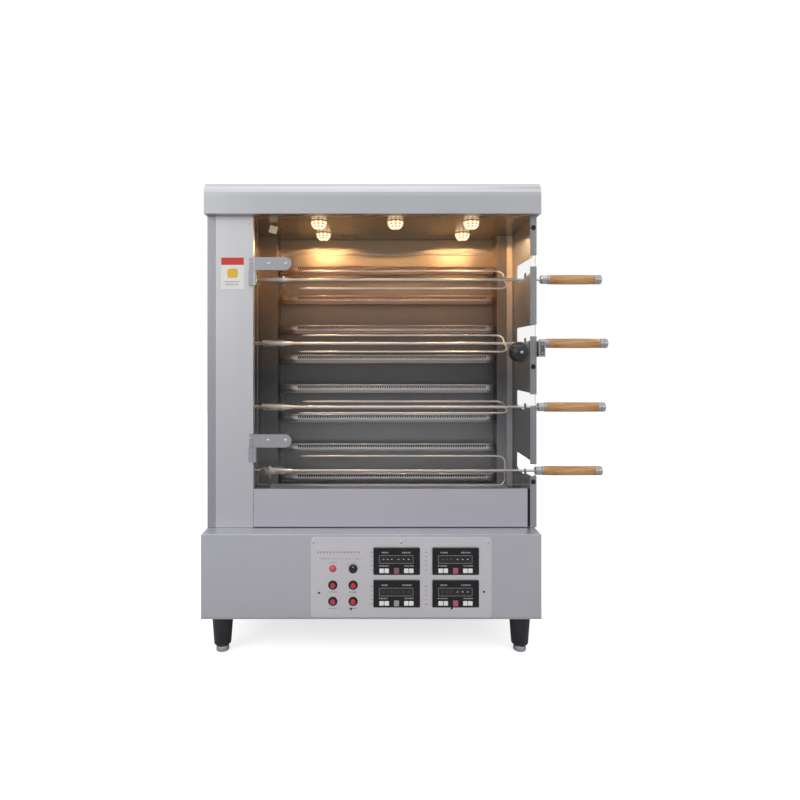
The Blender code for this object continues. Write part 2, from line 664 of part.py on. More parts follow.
clear_scene()
frame = add_frame()
brushed = look("brushed_stainless", (0.62, 0.62, 0.64), 0.35, 1.0)
polished = look("polished_stainless", (0.55, 0.54, 0.53), 0.2, 1.0)
steel = look("bright_steel", (0.72, 0.72, 0.72), 0.25, 1.0)
black = look("black_plastic", (0.02, 0.02, 0.022), 0.35, 0.0)
red = look("red_plastic", (0.65, 0.06, 0.04), 0.35, 0.0)
wood = look("beech_wood", (0.58, 0.36, 0.17), 0.5, 0.0)
clear_glass = look("clear_glass", (0.9, 0.95, 0.95), 0.05, 0.0)
lamp_glass = look("lamp_glass", (1.0, 0.8, 0.45), 0.2, 0.0)
add_base()
add_feet()
add_body_panels()
add_right_wall()
add_rear_cover()
add_ceiling()
add_hood()
add_drawer()
for spit_index, spit_height in enumerate(SPIT_Z):
    add_heater_bank(spit_index + 1, spit_height)
    add_spit(spit_index, spit_height, SPIT_ROLL[spit_index], WOOD_START[spit_index], WOOD_LENGTH[spit_index])
    add_gear_motor(spit_index + 1, spit_height)
add_door()
add_catch()
add_control_panel()
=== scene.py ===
import math
import random

import bmesh
import bpy
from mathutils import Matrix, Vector


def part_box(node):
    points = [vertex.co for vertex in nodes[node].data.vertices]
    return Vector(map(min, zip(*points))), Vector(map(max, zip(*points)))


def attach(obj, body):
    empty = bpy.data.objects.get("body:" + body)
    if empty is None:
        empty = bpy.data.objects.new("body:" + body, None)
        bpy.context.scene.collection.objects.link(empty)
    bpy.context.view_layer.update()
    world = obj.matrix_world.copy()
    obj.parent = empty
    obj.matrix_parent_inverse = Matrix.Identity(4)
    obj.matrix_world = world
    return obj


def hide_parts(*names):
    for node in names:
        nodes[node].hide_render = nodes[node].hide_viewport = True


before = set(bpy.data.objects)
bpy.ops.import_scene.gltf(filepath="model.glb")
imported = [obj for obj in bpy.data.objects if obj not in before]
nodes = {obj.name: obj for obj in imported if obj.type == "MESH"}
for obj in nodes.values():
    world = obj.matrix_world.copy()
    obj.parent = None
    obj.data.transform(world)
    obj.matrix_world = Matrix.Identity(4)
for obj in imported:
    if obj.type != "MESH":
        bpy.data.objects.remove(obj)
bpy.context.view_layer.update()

scene = bpy.context.scene

# Every place below is measured in metres from the cabinet's middle, its front face and the floor.
baseLow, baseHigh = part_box("base_housing")
columnLow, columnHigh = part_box("column_front_panel")
middleX = (baseLow[0] + baseHigh[0]) / 2
faceY = columnLow[1]
mm = 0.001


def place(x, y, z):
    return Vector((middleX + x, faceY + y, z))


def cabinetBox(node):
    low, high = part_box(node)
    return Vector(low) - place(0, 0, 0), Vector(high) - place(0, 0, 0)


def linear(code):
    parts = [int(code[i:i + 2], 16) / 255 for i in (1, 3, 5)]
    return tuple(p / 12.92 if p <= 0.04045 else ((p + 0.055) / 1.055) ** 2.4 for p in parts) + (1,)


def addNode(tree, kind, settings=None, links=None):
    node = tree.nodes.new(kind)
    for key, value in (settings or {}).items():
        if isinstance(key, str) and hasattr(node, key):
            setattr(node, key, value)
        else:
            node.inputs[key].default_value = value
    for key, source in (links or {}).items():
        tree.links.new(source, node.inputs[key])
    return node


def startMaterial(name):
    material = bpy.data.materials.new(name)
    material.use_nodes = True
    material.node_tree.nodes.clear()
    return material, material.node_tree


def endMaterial(tree, shader):
    addNode(tree, "ShaderNodeOutputMaterial", {}, {"Surface": shader.outputs["BSDF"]})


def setRamp(ramp, stops):
    band = ramp.color_ramp
    while len(band.elements) < len(stops):
        band.elements.new(0.5)
    for element, (position, colour) in zip(band.elements, stops):
        element.position = position
        element.color = colour


# Sheet stainless, ground with a belt: a soft, even shine that is drawn out along the grain.
sheetGrain = {
    "lineWidth": 2.0 * mm,      # real belt lines are 0.1 mm; drawn coarser so that they show
    "lineLength": 400 * mm,
    "cloudSize": 220 * mm,
    "lineDepth": 0.02 * mm,
}


def groundStainless(name, colour, roughness=0.42, along="X", contrast=0.04, clouds=0.05):
    material, tree = startMaterial(name)
    spread = [1 / sheetGrain["lineWidth"]] * 3
    spread["XYZ".index(along)] = 1 / sheetGrain["lineLength"]
    where = addNode(tree, "ShaderNodeTexCoord")
    stretched = addNode(tree, "ShaderNodeMapping", {"Scale": spread}, {"Vector": where.outputs["Object"]})
    lines = addNode(tree, "ShaderNodeTexNoise", {"Scale": 1.0, "Detail": 3.0},
                    {"Vector": stretched.outputs[0]})
    cloud = addNode(tree, "ShaderNodeTexNoise", {"Scale": 1 / sheetGrain["cloudSize"], "Detail": 2.0},
                    {"Vector": where.outputs["Object"]})
    lineSpan = addNode(tree, "ShaderNodeMapRange", {3: 1 - contrast, 4: 1 + contrast},
                       {0: lines.outputs["Fac"]})
    cloudSpan = addNode(tree, "ShaderNodeMapRange", {3: 1 - clouds, 4: 1 + clouds}, {0: cloud.outputs["Fac"]})
    both = addNode(tree, "ShaderNodeMath", {"operation": "MULTIPLY"},
                   {0: lineSpan.outputs[0], 1: cloudSpan.outputs[0]})
    shade = addNode(tree, "ShaderNodeVectorMath", {"operation": "SCALE", 0: linear(colour)[:3]},
                    {"Scale": both.outputs[0]})
    matt = addNode(tree, "ShaderNodeMapRange", {3: roughness - 0.06, 4: roughness + 0.06},
                   {0: lines.outputs["Fac"]})
    relief = addNode(tree, "ShaderNodeBump", {"Strength": 0.3, "Distance": sheetGrain["lineDepth"]},
                     {"Height": lines.outputs["Fac"]})
    shader = addNode(tree, "ShaderNodeBsdfPrincipled", {"Metallic": 1.0},
                     {"Base Color": shade.outputs[0], "Roughness": matt.outputs[0],
                      "Normal": relief.outputs[0]})
    endMaterial(tree, shader)
    return material


# Mirror-rolled stainless for the liner, ceiling and guards: colour set in bands by height, with heat browning
# near the top and lighter low down. On the liner the bands are also painted light: a warm lamp glow near the top
# and painted shade through the middle.
liner = {"waveSize": 160 * mm, "waveDepth": 0.12 * mm, "stainSize": 90 * mm, "low": 0.36, "high": 1.31}


def linerStainless(name, bands, roughness):
    material, tree = startMaterial(name)
    where = addNode(tree, "ShaderNodeTexCoord")
    parts = addNode(tree, "ShaderNodeSeparateXYZ", {}, {0: where.outputs["Object"]})
    height = addNode(tree, "ShaderNodeMapRange", {1: liner["low"], 2: liner["high"]}, {0: parts.outputs["Z"]})
    tint = addNode(tree, "ShaderNodeValToRGB", {}, {"Fac": height.outputs[0]})
    span = liner["high"] - liner["low"]
    setRamp(tint, [((at - liner["low"]) / span, linear(colour)) for at, colour in bands])
    stain = addNode(tree, "ShaderNodeTexNoise",
                    {"Scale": 1 / liner["stainSize"], "Detail": 5.0, "Roughness": 0.6},
                    {"Vector": where.outputs["Object"]})
    mottle = addNode(tree, "ShaderNodeMapRange", {3: 0.85, 4: 1.15}, {0: stain.outputs["Fac"]})
    shade = addNode(tree, "ShaderNodeVectorMath", {"operation": "SCALE"},
                    {0: tint.outputs[0], "Scale": mottle.outputs[0]})
    wave = addNode(tree, "ShaderNodeTexNoise", {"Scale": 1 / liner["waveSize"], "Detail": 1.0},
                   {"Vector": where.outputs["Object"]})
    relief = addNode(tree, "ShaderNodeBump", {"Strength": 0.5, "Distance": liner["waveDepth"]},
                     {"Height": wave.outputs["Fac"]})
    matt = addNode(tree, "ShaderNodeMapRange", {3: roughness - 0.07, 4: roughness + 0.09},
                   {0: stain.outputs["Fac"]})
    shader = addNode(tree, "ShaderNodeBsdfPrincipled", {"Metallic": 1.0},
                     {"Base Color": shade.outputs[0], "Roughness": matt.outputs[0],
                      "Normal": relief.outputs[0]})
    endMaterial(tree, shader)
    return material


# Small pressings and drawn rod, polished or plated: a clear shine, with faint draw marks.
def brightMetal(name, colour, roughness, markSize=0.6 * mm, along="X", markDepth=0.01 * mm):
    material, tree = startMaterial(name)
    spread = [1 / markSize] * 3
    spread["XYZ".index(along)] = 1 / (40 * markSize)
    where = addNode(tree, "ShaderNodeTexCoord")
    stretched = addNode(tree, "ShaderNodeMapping", {"Scale": spread}, {"Vector": where.outputs["Object"]})
    marks = addNode(tree, "ShaderNodeTexNoise", {"Scale": 1.0, "Detail": 2.0},
                    {"Vector": stretched.outputs[0]})
    span = addNode(tree, "ShaderNodeMapRange", {3: 0.88, 4: 1.1}, {0: marks.outputs["Fac"]})
    shade = addNode(tree, "ShaderNodeVectorMath", {"operation": "SCALE", 0: linear(colour)[:3]},
                    {"Scale": span.outputs[0]})
    matt = addNode(tree, "ShaderNodeMapRange", {3: roughness * 0.7, 4: roughness * 1.4},
                   {0: marks.outputs["Fac"]})
    relief = addNode(tree, "ShaderNodeBump", {"Strength": 0.3, "Distance": markDepth},
                     {"Height": marks.outputs["Fac"]})
    shader = addNode(tree, "ShaderNodeBsdfPrincipled", {"Metallic": 1.0},
                     {"Base Color": shade.outputs[0], "Roughness": matt.outputs[0],
                      "Normal": relief.outputs[0]})
    endMaterial(tree, shader)
    return material


# Moulded plastics and rubber: even colour with a fine tool texture that breaks up the shine.
def mouldedPlastic(name, colour, roughness, grit=0.8 * mm, gritDepth=0.02 * mm, glow=0.0):
    material, tree = startMaterial(name)
    where = addNode(tree, "ShaderNodeTexCoord")
    grain = addNode(tree, "ShaderNodeTexNoise", {"Scale": 1 / grit, "Detail": 3.0},
                    {"Vector": where.outputs["Object"]})
    patch = addNode(tree, "ShaderNodeTexNoise", {"Scale": 1 / (30 * mm), "Detail": 2.0},
                    {"Vector": where.outputs["Object"]})
    span = addNode(tree, "ShaderNodeMapRange", {3: 0.85, 4: 1.15}, {0: patch.outputs["Fac"]})
    shade = addNode(tree, "ShaderNodeVectorMath", {"operation": "SCALE", 0: linear(colour)[:3]},
                    {"Scale": span.outputs[0]})
    matt = addNode(tree, "ShaderNodeMapRange", {3: roughness * 0.8, 4: roughness * 1.25},
                   {0: patch.outputs["Fac"]})
    relief = addNode(tree, "ShaderNodeBump", {"Strength": 0.25, "Distance": gritDepth},
                     {"Height": grain.outputs["Fac"]})
    shader = addNode(tree, "ShaderNodeBsdfPrincipled",
                     {"IOR": 1.5, "Emission Color": linear(colour), "Emission Strength": glow},
                     {"Base Color": shade.outputs[0], "Roughness": matt.outputs[0],
                      "Normal": relief.outputs[0]})
    endMaterial(tree, shader)
    return material


# Turned and oiled beech: pinkish tan with long darker flecks along the handle.
beech = {"light": "#DDB07A", "dark": "#B5793F", "fleckWidth": 1.6 * mm, "fleckLength": 26 * mm,
         "ringWidth": 7 * mm}


def oiledBeech(name):
    material, tree = startMaterial(name)
    where = addNode(tree, "ShaderNodeTexCoord")
    flecks = addNode(tree, "ShaderNodeMapping",
                     {"Scale": (1 / beech["fleckLength"], 1 / beech["fleckWidth"], 1 / beech["fleckWidth"])},
                     {"Vector": where.outputs["Object"]})
    fleck = addNode(tree, "ShaderNodeTexNoise", {"Scale": 1.0, "Detail": 4.0, "Roughness": 0.65},
                    {"Vector": flecks.outputs[0]})
    rings = addNode(tree, "ShaderNodeMapping",
                    {"Scale": (1 / (12 * beech["ringWidth"]), 1 / beech["ringWidth"],
                               0.6 / beech["ringWidth"])},
                    {"Vector": where.outputs["Object"]})
    ring = addNode(tree, "ShaderNodeTexNoise", {"Scale": 1.0, "Detail": 2.0, "Distortion": 0.4},
                   {"Vector": rings.outputs[0]})
    mixed = addNode(tree, "ShaderNodeMath", {"operation": "MULTIPLY_ADD", 1: 0.45},
                    {0: fleck.outputs["Fac"], 2: ring.outputs["Fac"]})
    tone = addNode(tree, "ShaderNodeValToRGB", {}, {"Fac": mixed.outputs[0]})
    setRamp(tone, [(0.5, linear(beech["dark"])), (0.85, linear(beech["light"]))])
    matt = addNode(tree, "ShaderNodeMapRange", {3: 0.38, 4: 0.55}, {0: fleck.outputs["Fac"]})
    relief = addNode(tree, "ShaderNodeBump", {"Strength": 0.4, "Distance": 0.08 * mm},
                     {"Height": fleck.outputs["Fac"]})
    shader = addNode(tree, "ShaderNodeBsdfPrincipled", {"IOR": 1.5},
                     {"Base Color": tone.outputs[0], "Roughness": matt.outputs[0],
                      "Normal": relief.outputs[0]})
    endMaterial(tree, shader)
    return material


# Clear and tinted glass: mostly see-through, with a thin shine; the cut edge is a denser green.
def floatGlass(name, colour, alpha, roughness=0.04, glow=0.0, glowColour="#FFFFFF"):
    material, tree = startMaterial(name)
    where = addNode(tree, "ShaderNodeTexCoord")
    smear = addNode(tree, "ShaderNodeTexNoise", {"Scale": 1 / (120 * mm), "Detail": 3.0},
                    {"Vector": where.outputs["Object"]})
    matt = addNode(tree, "ShaderNodeMapRange", {3: roughness * 0.6, 4: roughness * 1.6},
                   {0: smear.outputs["Fac"]})
    shader = addNode(tree, "ShaderNodeBsdfPrincipled",
                     {"Base Color": linear(colour), "IOR": 1.52, "Alpha": alpha,
                      "Emission Color": linear(glowColour), "Emission Strength": glow},
                     {"Roughness": matt.outputs[0]})
    endMaterial(tree, shader)
    return material


# The column, side, base, hood and drawer sheets are one stainless at different brightness levels. Each level is
# set for how light falls on that part: painted light and shade.
steel = {
    "columnSheet": groundStainless("belt-ground stainless, column, painted light level", "#D4D4D9", along="Z"),
    "sideSheet": groundStainless("belt-ground stainless, side, painted shade level", "#AEAFB4", along="Z"),
    "baseSheet": groundStainless("belt-ground stainless, base, painted light level", "#D2D3DA", along="X"),
    "hoodSheet": groundStainless("belt-ground stainless, hood, painted light level", "#C6C7CB", along="X", contrast=0.02),
    "drawerSheet": groundStainless("belt-ground stainless, drawer, painted light level", "#CFCFD8", along="X"),
    "controlSheet": groundStainless("belt-ground stainless, control plate", "#EAE9EE", along="X",
                                    contrast=0.03),
    # The liner's height bands are partly heat tint and partly painted light. The warm bright band near the top
    # stands in for the lamps' glow, and the dark band around 0.8 m is painted shade.
    "liner": linerStainless("mirror-rolled stainless, heat-browned",
                            ((0.42, "#BEC0C4"), (0.576, "#9A9CA0"), (0.80, "#646468"), (1.03, "#907968"),
                             (1.25, "#B29A7E")), 0.42),
    # The ceiling's warm brown colour is painted light: it stands in for the lamps' warm light bouncing onto it.
    "ceiling": linerStainless("mirror-rolled stainless, ceiling, painted warm bounce", ((0.4, "#A09484"), (1.3, "#A09484")), 0.24),
    "guard": linerStainless("pressed stainless guard, heat-dulled",
                            ((0.44, "#CACACE"), (0.80, "#BCBABC"), (1.00, "#B09C90"), (1.19, "#B08E78")),
                            0.34),
    "rod": brightMetal("drawn stainless rod", "#E6E4E2", 0.34, along="X", markDepth=0.001 * mm),
    "ferrule": brightMetal("turned steel ferrule", "#C4C4C6", 0.2, along="Y", markSize=1.0 * mm),
    "pressing": brightMetal("polished stainless pressing", "#B4B5BA", 0.36, along="X"),
    "screw": brightMetal("zinc-plated screw", "#D2D2D4", 0.2, along="Y"),
    "darkScrew": brightMetal("blackened screw", "#3E3C3E", 0.35, along="Y"),
    "casting": brightMetal("die-cast gearbox", "#6C6C70", 0.5, along="Z", markSize=1.5 * mm),
    "sheath": brightMetal("heater sheath, oxidised", "#3B3835", 0.5, along="X"),
}
plastic = {
    "gloss": mouldedPlastic("black phenolic, polished", "#262628", 0.26, gritDepth=0.004 * mm),
    "case": mouldedPlastic("black ABS, fine grain", "#070709", 0.42),
    "foot": mouldedPlastic("black nylon, satin", "#24242A", 0.38),
    "ferrite": mouldedPlastic("sintered ferrite magnet", "#5C625F", 0.5),
    "rubber": mouldedPlastic("moulded black rubber", "#1B1B1C", 0.7, gritDepth=0.05 * mm),
    "redCap": mouldedPlastic("red polycarbonate button", "#BE3C36", 0.22, gritDepth=0.004 * mm),
    "pinkCap": mouldedPlastic("red polycarbonate button, faded", "#AE4454", 0.22, gritDepth=0.004 * mm),
    "lens": mouldedPlastic("red polycarbonate lens", "#D05268", 0.12, gritDepth=0.002 * mm, glow=0.08),
}
wood = oiledBeech("turned beech, oiled")
doorGlass = floatGlass("toughened float glass", "#2A3A36", 0.05)
glassEdge = floatGlass("toughened float glass, ground edge", "#6F8A82", 0.5, roughness=0.25)
print("materials ready")

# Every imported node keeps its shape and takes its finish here.
finishes = {
    "base_housing": steel["baseSheet"], "base_floor_plate": steel["baseSheet"], "hood": steel["hoodSheet"],
    "left_side_panel": steel["sideSheet"], "column_front_panel": steel["columnSheet"],
    "right_side_wall": steel["sideSheet"], "rear_cover": steel["sideSheet"],
    "drip_drawer": steel["drawerSheet"],
    "control_panel": steel["controlSheet"], "inner_left_wall": steel["liner"], "back_wall": steel["liner"],
    "ceiling_panel": steel["ceiling"], "cable_gland": plastic["case"], "selector_knob": plastic["gloss"],
    "power_indicator": plastic["lens"], "door_catch": steel["pressing"],
}
for i in range(1, 5):
    finishes[f"gear_motor_{i}"] = steel["casting"]
    finishes[f"drive_shaft_{i}"] = steel["rod"]
    finishes[f"push_button_{i}"] = plastic["pinkCap" if i in (1, 3) else "redCap"]
for part in ("hinge_clamp_upper", "hinge_clamp_lower", "hinge_bracket_upper", "hinge_bracket_lower"):
    finishes[part] = steel["pressing"]
roundings = {"hood": 0.8, "base_housing": 1.4, "drip_drawer": 0.6, "column_front_panel": 0.6,
             "left_side_panel": 0.6,
             "right_side_wall": 0.5, "control_panel": 0.5, "back_wall": 0.5, "inner_left_wall": 0.5,
             "hinge_clamp_upper": 0.7, "hinge_clamp_lower": 0.7, "hinge_bracket_upper": 0.4,
             "hinge_bracket_lower": 0.4, "door_catch": 0.6, "rear_cover": 0.4, "selector_knob": 0.5}
for part, material in finishes.items():
    node = nodes[part]
    node.data.materials.clear()
    node.data.materials.append(material)
    if part in roundings:
        weld = node.modifiers.new("Weld", "WELD")
        weld.merge_threshold = 0.01 * mm
        bevel = node.modifiers.new("Bevel", "BEVEL")
        bevel.width = roundings[part] * mm
        bevel.segments = 2
        bevel.limit_method = "ANGLE"
        bevel.angle_limit = math.radians(35)
print("packed nodes finished")


# Mesh helpers: each adds a closed shape to the mesh being built.
def addLoft(mesh, rings, caps=True):
    loops = [[mesh.verts.new(point) for point in ring] for ring in rings]
    made = []
    for first, second in zip(loops, loops[1:]):
        count = max(len(first), len(second))
        for i in range(count):
            j = (i + 1) % count
            corners = (first[i % len(first)], first[j % len(first)], second[j % len(second)],
                       second[i % len(second)])
            made.append(mesh.faces.new(list(dict.fromkeys(corners))))
    if caps:
        for end in (loops[0], loops[-1]):
            if len(end) > 2:
                made.append(mesh.faces.new(end))
    return made


axes = {"X": (Vector((1, 0, 0)), Vector((0, 1, 0)), Vector((0, 0, 1))),
        "Y": (Vector((0, 1, 0)), Vector((1, 0, 0)), Vector((0, 0, 1))),
        "Z": (Vector((0, 0, 1)), Vector((1, 0, 0)), Vector((0, 1, 0)))}


def addTurned(mesh, axis, profile, segments=32, centre=(0, 0, 0), ribs=0, ribDepth=0):
    along, side, up = axes[axis]
    rings = []
    for at, radius in profile:
        middle = Vector(centre) + along * at
        turns = [2 * math.pi * i / segments for i in range(segments)]
        ring = [middle + (side * math.cos(t) + up * math.sin(t)) * (radius + ribDepth * math.cos(ribs * t))
                for t in turns]
        rings.append(ring if radius else [middle])
    return addLoft(mesh, rings)


def addPlate(mesh, outline, axis, start, end):
    along, side, up = axes[axis]
    return addLoft(mesh, [[along * at + side * u + up * v for u, v in outline] for at in (start, end)])


def addBox(mesh, low, high):
    outline = [(low[0], low[1]), (high[0], low[1]), (high[0], high[1]), (low[0], high[1])]
    return addPlate(mesh, outline, "Z", low[2], high[2])


def addWire(mesh, route, sides=12):
    rings = []
    for i, (point, radius) in enumerate(route):
        ahead = (route[min(i + 1, len(route) - 1)][0] - route[max(i - 1, 0)][0]).normalized()
        side = ahead.orthogonal().normalized() if i == 0 else (side - ahead * side.dot(ahead)).normalized()
        up = ahead.cross(side)
        turns = [2 * math.pi * k / sides for k in range(sides)]
        rings.append([point + (side * math.cos(t) + up * math.sin(t)) * radius for t in turns])
    return addLoft(mesh, rings)


def roundedOutline(low, high, radius, steps=5):
    outline = []
    for cornerX, cornerY, first in ((high[0], high[1], 0), (low[0], high[1], 90), (low[0], low[1], 180),
                                    (high[0], low[1], 270)):
        inX = cornerX + (-radius if cornerX == high[0] else radius)
        inY = cornerY + (-radius if cornerY == high[1] else radius)
        for step in range(steps + 1):
            turn = math.radians(first + 90 * step / steps)
            outline.append((inX + radius * math.cos(turn), inY + radius * math.sin(turn)))
    return outline


def piece(name, mesh, material, body, at=(0, 0, 0), bevel=0.0, smoothTo=35):
    bmesh.ops.recalc_face_normals(mesh, faces=mesh.faces)
    data = bpy.data.meshes.new(name)
    mesh.to_mesh(data)
    mesh.free()
    data.shade_smooth()
    data.set_sharp_from_angle(angle=math.radians(smoothTo))
    for each in material if isinstance(material, (list, tuple)) else [material]:
        data.materials.append(each)
    made = bpy.data.objects.new(name, data)
    made.location = place(*at)
    scene.collection.objects.link(made)
    if bevel:
        edge = made.modifiers.new("Bevel", "BEVEL")
        edge.width = bevel
        edge.segments = 2
        edge.limit_method = "ANGLE"
        edge.angle_limit = math.radians(35)
    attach(made, body)
    return made


spitY = 0.178
spitHeights = [(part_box(f"drive_shaft_{i}")[0][2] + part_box(f"drive_shaft_{i}")[1][2]) / 2 for i in range(1, 5)]


def addLight(name, kind, location, target, power, settings):
    data = bpy.data.lights.new(name, kind)
    data.energy = power
    for key, value in settings.items():
        setattr(data, key, value)
    light = bpy.data.objects.new(name, data)
    light.location = location
    light.rotation_euler = (Vector(target) - Vector(location)).to_track_quat("-Z", "Y").to_euler()
    scene.collection.objects.link(light)


# Heaters: a slotted guard with a rounded top edge over a black-sheathed element, two to a bank.
heater = {
    "left": -0.327, "right": 0.442, "front": 0.325, "depth": 0.020, "half": 15.5 * mm, "offset": 53.3 * mm,
    "sheet": 1.0 * mm, "slotWidth": 4 * mm, "slotPitch": 8 * mm, "slotStart": -0.264, "slotEnd": 0.420,
    "slotLow": 1.5 * mm, "slotHigh": 10.5 * mm, "sheathRadius": 4 * mm,
}


def guardProfile():
    front = heater["front"]
    half = heater["half"]
    corner = 3 * mm
    points = [(front + heater["depth"], half)]
    for step in range(4):
        turn = math.radians(30 * step)
        points.append((front + corner * (1 - math.sin(turn)), half - corner * (1 - math.cos(turn))))
    points += [(front, heater["slotHigh"]), (front, heater["slotLow"]), (front, -6.5 * mm),
               (front + 4 * mm, -8 * mm),
               (front + 4 * mm, -9.5 * mm), (front - 0.5 * mm, -10.5 * mm), (front, -half + 1.5 * mm),
               (front + 1.5 * mm, -half), (front + heater["depth"], -half)]
    return points


def addGuard(mesh, height):
    stations = [heater["left"]]
    slots = int((heater["slotEnd"] - heater["slotStart"]) / heater["slotPitch"])
    for i in range(slots):
        start = heater["slotStart"] + i * heater["slotPitch"]
        stations += [start, start + heater["slotWidth"]]
    stations.append(heater["right"])
    profile = guardProfile()
    grid = [[mesh.verts.new((x, y, height + z)) for y, z in profile] for x in stations]
    for i in range(len(stations) - 1):
        for j in range(len(profile) - 1):
            slotRow = profile[j][1] == heater["slotHigh"] and profile[j + 1][1] == heater["slotLow"]
            if slotRow and i % 2 == 1:
                continue
            mesh.faces.new((grid[i][j], grid[i][j + 1], grid[i + 1][j + 1], grid[i + 1][j]))


def addHeaters():
    for number, z in enumerate(spitHeights, 1):
        mesh = bmesh.new()
        for side in (1, -1):
            addGuard(mesh, z + side * heater["offset"])
        guards = piece(f"heater_guards_{number}", mesh, steel["guard"], "cabinet")
        skin = guards.modifiers.new("Sheet", "SOLIDIFY")
        skin.thickness = heater["sheet"]
        skin.offset = -1
        mesh = bmesh.new()
        behind = heater["front"] + 12 * mm
        start = heater["left"] + 6 * mm
        end = heater["right"] - 6 * mm
        radius = heater["sheathRadius"]
        for side in (1, -1):
            profile = [(start, 0), (start, 3 * mm), (start + 10 * mm, 3 * mm), (start + 11 * mm, 5.5 * mm),
                       (start + 24 * mm, 5.5 * mm), (start + 25 * mm, radius), (end - 25 * mm, radius),
                       (end - 24 * mm, 5.5 * mm), (end - 11 * mm, 5.5 * mm), (end - 10 * mm, 3 * mm),
                       (end, 3 * mm), (end, 0)]
            addTurned(mesh, "X", profile, 16, (0, behind, side * heater["offset"]))
            middle = side * heater["offset"]
            # A dark strip of sheath steel sits right behind each row of guard slots. It is painted shade, so that
            # the slots read dark.
            addBox(mesh, (heater["slotStart"] - 8 * mm, heater["front"] + 3 * mm, middle - 3 * mm),
                   (heater["slotEnd"] + 8 * mm, heater["front"] + 5 * mm, middle + 12 * mm))
        elements = piece(f"heater_elements_{number}", mesh, steel["sheath"], "cabinet",
                         (0, 0, z))
        mesh = bmesh.new()
        wall = 0.3797
        arm = 10 * mm
        tip = heater["front"] + 1.3 * mm
        upper = heater["offset"]
        outline = [(wall, z - upper - arm), (wall, z + upper + arm), (tip, z + upper + arm),
                   (tip, z + upper - arm),
                   (wall - 3 * mm, z + upper - arm), (wall - 3 * mm, z + arm - upper), (tip, z + arm - upper),
                   (tip, z - upper - arm)]
        for low in (heater["left"] + 4 * mm, heater["right"] - 24 * mm):
            addPlate(mesh, outline, "X", low, low + 20 * mm)
            for rise in (z - 20 * mm, z + 20 * mm):
                addTurned(mesh, "Y",
                          [(wall - 6 * mm, 0), (wall - 6 * mm, 3 * mm), (wall - 4.5 * mm, 4.5 * mm),
                                      (wall - 2 * mm, 4.5 * mm), (wall - 2 * mm, 0)], 16,
                          (low + 10 * mm, 0, rise))
        piece(f"heater_brackets_{number}", mesh, steel["liner"], "cabinet",
              bevel=0.5 * mm)
        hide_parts(f"heater_bank_{number}")


# A rolled bead stiffens the liner just above the top heater.
bead = {"left": -0.3335, "right": 0.4485, "z": 1.254, "rise": 1.6 * mm, "half": 2.2 * mm, "wallSheet": 2 * mm}


def addLinerBead():
    wall = cabinetBox("back_wall")[1].y - bead["wallSheet"]
    outline = []
    for step in range(9):
        turn = math.pi * step / 8
        outline.append((wall - bead["rise"] * math.sin(turn), bead["z"] + bead["half"] * math.cos(turn)))
    mesh = bmesh.new()
    addPlate(mesh, outline, "X", bead["left"], bead["right"])
    # The bead takes the brighter rod steel rather than the liner's browned finish: a painted highlight line along
    # it.
    piece("liner_bead", mesh, steel["rod"], "cabinet")


addHeaters()
addLinerBead()
print("heaters ready")

# Spits: a smooth rod in a bored sleeve, with a two-pronged wire fork welded across it.
spit = {
    "rolls": (43, 35, 18, 90), "rod": 5 * mm, "wire": 3 * mm, "half": 49 * mm, "bow": 0.448, "tip": -0.238,
    "corner": 22 * mm, "sleeveStart": -0.364, "sleeveEnd": -0.294, "sleeve": 11.5 * mm, "socket": 7.2 * mm,
    "taperEnd": -0.258, "woodStart": (0.594, 0.590, 0.584, 0.576), "woodLength": (0.151, 0.176, 0.174, 0.172),
    "wood": 16 * mm, "ferrule": 28 * mm,
}


def forkRoute(roll):
    turn = math.radians(roll)
    out = Vector((0, -math.cos(turn), -math.sin(turn)))
    bend = spit["bow"] - spit["corner"]
    spread = spit["half"] - spit["corner"]
    half = [(spit["tip"], spit["half"], 0.3 * mm), (spit["tip"] + 3 * mm, spit["half"], 1.0 * mm),
            (spit["tip"] + 22 * mm, spit["half"], spit["wire"])]
    steps = 12
    for step in range(steps + 1):
        angle = math.radians(90 * step / steps)
        half.append((bend + spit["corner"] * math.sin(angle), spread + spit["corner"] * math.cos(angle),
                     spit["wire"]))
    whole = half + [(x, -offset, radius) for x, offset, radius in reversed(half)]
    return [(Vector((x, 0, 0)) + out * offset, radius) for x, offset, radius in whole], out


